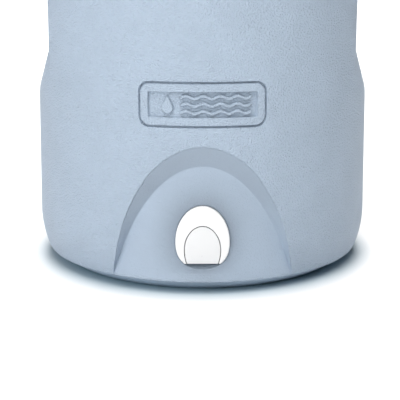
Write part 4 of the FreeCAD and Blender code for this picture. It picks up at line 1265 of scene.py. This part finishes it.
def bump_node(nodes, links, height, distance):
    node = nodes.new("ShaderNodeBump")
    node.inputs["Distance"].default_value = distance
    links.new(height, node.inputs["Height"])
    return node


def math_node(nodes, links, operation, first, second):
    """One arithmetic node. Either input may be a socket or a number."""
    node = nodes.new("ShaderNodeMath")
    node.operation = operation
    for index, value in enumerate((first, second)):
        if isinstance(value, (int, float)):
            node.inputs[index].default_value = value
        else:
            links.new(value, node.inputs[index])
    return node.outputs[0]


def moulded_plastic(name, masked=False):
    """Moulded plastic: grain from the mould, faint mottling, slow waves and uneven gloss.

    The attribute shade darkens it with painted shade. masked also makes the grain shallow where the attribute
    recess is 1.
    """
    colour, roughness, grain_scale, grain_depth, mottle, wave = PLASTICS[name]
    material, nodes, links, shader = new_material(name, colour, roughness)
    shader.inputs["IOR"].default_value = 1.5
    lighter = [min(c * (1 + mottle), 1) for c in colour]
    darker = [c * (1 - mottle) for c in colour]
    cloud = spread(nodes, links, noise(nodes, links, 28, 4), 0.3, 0.7, 0, 1)
    mottled = tint(nodes, links, shader, cloud, darker, lighter)
    shade = nodes.new("ShaderNodeAttribute")
    shade.attribute_name = "shade"
    towards(nodes, links, shader, mottled.outputs[2], shade.outputs["Fac"], (0, 0, 0))
    gloss = spread(nodes, links, noise(nodes, links, 90, 3), 0.3, 0.7, roughness - 0.05, roughness + 0.06)
    links.new(gloss, shader.inputs["Roughness"])
    grain = noise(nodes, links, grain_scale, 2, 0.5)
    if masked:
        mask = nodes.new("ShaderNodeAttribute")
        mask.attribute_name = "recess"
        keep = spread(nodes, links, mask.outputs["Fac"], 0, 1, 1, GRAIN_IN_RECESS)
        grain = math_node(nodes, links, "MULTIPLY", grain, keep)
    fine = bump_node(nodes, links, grain, grain_depth)
    wavy = bump_node(nodes, links, noise(nodes, links, 14, 1), wave)
    links.new(fine.outputs["Normal"], wavy.inputs["Normal"])
    links.new(wavy.outputs["Normal"], shader.inputs["Normal"])
    return material


def soft_rubber(name, colour):
    """Matt rubber with a dusty bloom."""
    material, nodes, links, shader = new_material(name, colour, 0.75)
    bloom = spread(nodes, links, noise(nodes, links, 160, 5, 0.7), 0.35, 0.75, 0, 1)
    tint(nodes, links, shader, bloom, colour, [c * 1.7 + 0.01 for c in colour])
    grain = bump_node(nodes, links, noise(nodes, links, 1800, 2), 0.00008)
    links.new(grain.outputs["Normal"], shader.inputs["Normal"])
    return material


def cut_foam(name, colour):
    """Poured foam: small closed cells and a deeper colour in the hollows."""
    material, nodes, links, shader = new_material(name, colour, 0.9)
    place = nodes.new("ShaderNodeTexCoord")
    cells = nodes.new("ShaderNodeTexVoronoi")
    cells.inputs["Scale"].default_value = 900
    links.new(place.outputs["Object"], cells.inputs["Vector"])
    shade = spread(nodes, links, cells.outputs["Distance"], 0.1, 0.7, 0, 1)
    tint(nodes, links, shader, shade, colour, [c * 0.7 for c in colour])
    relief = bump_node(nodes, links, cells.outputs["Distance"], 0.0004)
    links.new(relief.outputs["Normal"], shader.inputs["Normal"])
    return material


def drawn_steel(name, colour):
    """Bright drawn wire with fine lengthwise marks."""
    material, nodes, links, shader = new_material(name, colour, 0.28)
    shader.inputs["Metallic"].default_value = 1.0
    marks = noise(nodes, links, 700, 4, 0.6, 0.4)
    gloss = spread(nodes, links, marks, 0.3, 0.7, 0.2, 0.38)
    links.new(gloss, shader.inputs["Roughness"])
    scratches = bump_node(nodes, links, marks, 0.00003)
    links.new(scratches.outputs["Normal"], shader.inputs["Normal"])
    return material


def make_materials():
    materials = {name: moulded_plastic(name, masked=name == "shell_blue") for name in PLASTICS}
    materials["foam"] = cut_foam("foam", FOAM_COLOUR)
    materials["gasket_rubber"] = soft_rubber("gasket_rubber", RUBBER_COLOUR)
    materials["spring_steel"] = drawn_steel("spring_steel", STEEL_COLOUR)
    return materials


def dress_cad_nodes(materials):
    """Gives each CAD node that stays in view its procedural material, and soft edges where they show."""
    slots = {part["node"]: part["material_slot"] for part in frame["record"]["subparts"]}
    for name, node in frame["nodes"].items():
        node.data.materials.clear()
        node.data.materials.append(materials[slots[name]])
        if name in SOFT_EDGED:
            bevel = node.modifiers.new("soft_edges", "BEVEL")
            bevel.width = SOFT_EDGED[name]
            bevel.segments = 3
            bevel.limit_method = "ANGLE"
            bevel.angle_limit = math.radians(40)
            bevel.harden_normals = True


# ---------------------------------------------------------------- floor, light and camera

def make_floor():
    net = Net()
    half = FLOOR_HALF
    net.grid([[(-half, -half, 0), (half, -half, 0)], [(-half, half, 0), (half, half, 0)]])
    material, nodes, links, shader = new_material("floor_white", (0.9, 0.9, 0.9), 0.9)
    mottle = spread(nodes, links, noise(nodes, links, 3, 2), 0.3, 0.7, 0, 1)
    pale = tint(nodes, links, shader, mottle, (0.89, 0.89, 0.89), (0.91, 0.91, 0.91))
    shader.inputs["Specular IOR Level"].default_value = 0.0
    place = nodes.new("ShaderNodeTexCoord")
    away = nodes.new("ShaderNodeVectorMath")
    away.operation = "LENGTH"
    links.new(place.outputs["Object"], away.inputs[0])
    # painted shadow of the jug on the floor, darker near its foot
    dark = spread(nodes, links, away.outputs["Value"], FLOOR_DARK[0], FLOOR_DARK[1], FLOOR_SHADE, 0)
    towards(nodes, links, shader, pale.outputs[2], dark, FLOOR_TINT)
    glow = spread(nodes, links, away.outputs["Value"], FLOOR_GLOW[0], FLOOR_GLOW[1], 0, 1)
    shader.inputs["Emission Color"].default_value = (1, 1, 1, 1)
    links.new(glow, shader.inputs["Emission Strength"])
    floor = mesh_object("floor", net.verts, net.faces, material)
    return floor


def area_light(name, place, target, size, watts):
    data = bpy.data.lights.new(name, "AREA")
    data.shape = "RECTANGLE"
    data.size, data.size_y = size
    data.energy = watts
    light = bpy.data.objects.new(name, data)
    bpy.context.scene.collection.objects.link(light)
    light.location = place
    light.rotation_mode = "QUATERNION"
    backwards = np.array(place, float) - np.array(target, float)
    light.rotation_quaternion = Vector(-backwards).to_track_quat("-Z", "Y")


def make_light():
    scene = bpy.context.scene
    scene.view_settings.view_transform = "Standard"
    scene.view_settings.look = "None"
    world = bpy.data.worlds.new("studio")
    scene.world = world
    world.use_nodes = True
    backdrop = world.node_tree.nodes["Background"]
    backdrop.inputs["Color"].default_value = (1, 1, 1, 1)
    seen = world.node_tree.nodes.new("ShaderNodeLightPath")
    world.node_tree.links.new(seen.outputs["Is Camera Ray"], backdrop.inputs["Strength"])
    azimuth, height = math.radians(KEY_AZIMUTH_DEG), math.radians(KEY_HEIGHT_DEG)
    level = KEY_REACH * math.cos(height)
    aim = (0, 0, KEY_AIM_Z)
    key_place = (level * math.sin(azimuth), -level * math.cos(azimuth), aim[2] + KEY_REACH * math.sin(height))
    area_light("key", key_place, aim, (KEY_SIZE, KEY_SIZE), KEY_WATTS)
    below = (TOP_PLACE[0], TOP_PLACE[1], 0)
    area_light("overhead", TOP_PLACE, below, TOP_SIZE, TOP_WATTS)


def make_camera():
    data = bpy.data.cameras.new("camera")
    data.lens = CAMERA_LENS_MM
    data.sensor_width = SENSOR_MM
    data.clip_end = 100
    camera = bpy.data.objects.new("camera", data)
    bpy.context.scene.collection.objects.link(camera)
    camera.location = CAMERA_PLACE
    camera.rotation_euler = (math.radians(90 - CAMERA_PITCH_DEG), 0, 0)
    bpy.context.scene.camera = camera


# ---------------------------------------------------------------- build

make_camera()
make_light()
make_floor()
MATERIALS = make_materials()
dress_cad_nodes(MATERIALS)
make_shell(MATERIALS["shell_blue"])
make_collar(MATERIALS["shell_blue"])
make_neck_lugs(MATERIALS["shell_blue"])
make_ears(MATERIALS["shell_blue"])
make_tap(MATERIALS["tap_white"], MATERIALS["button_white"])
make_spring(MATERIALS["spring_steel"])
make_lid(MATERIALS["lid_white"])
make_handle(MATERIALS["handle_white"])

bpy.context.view_layer.update()
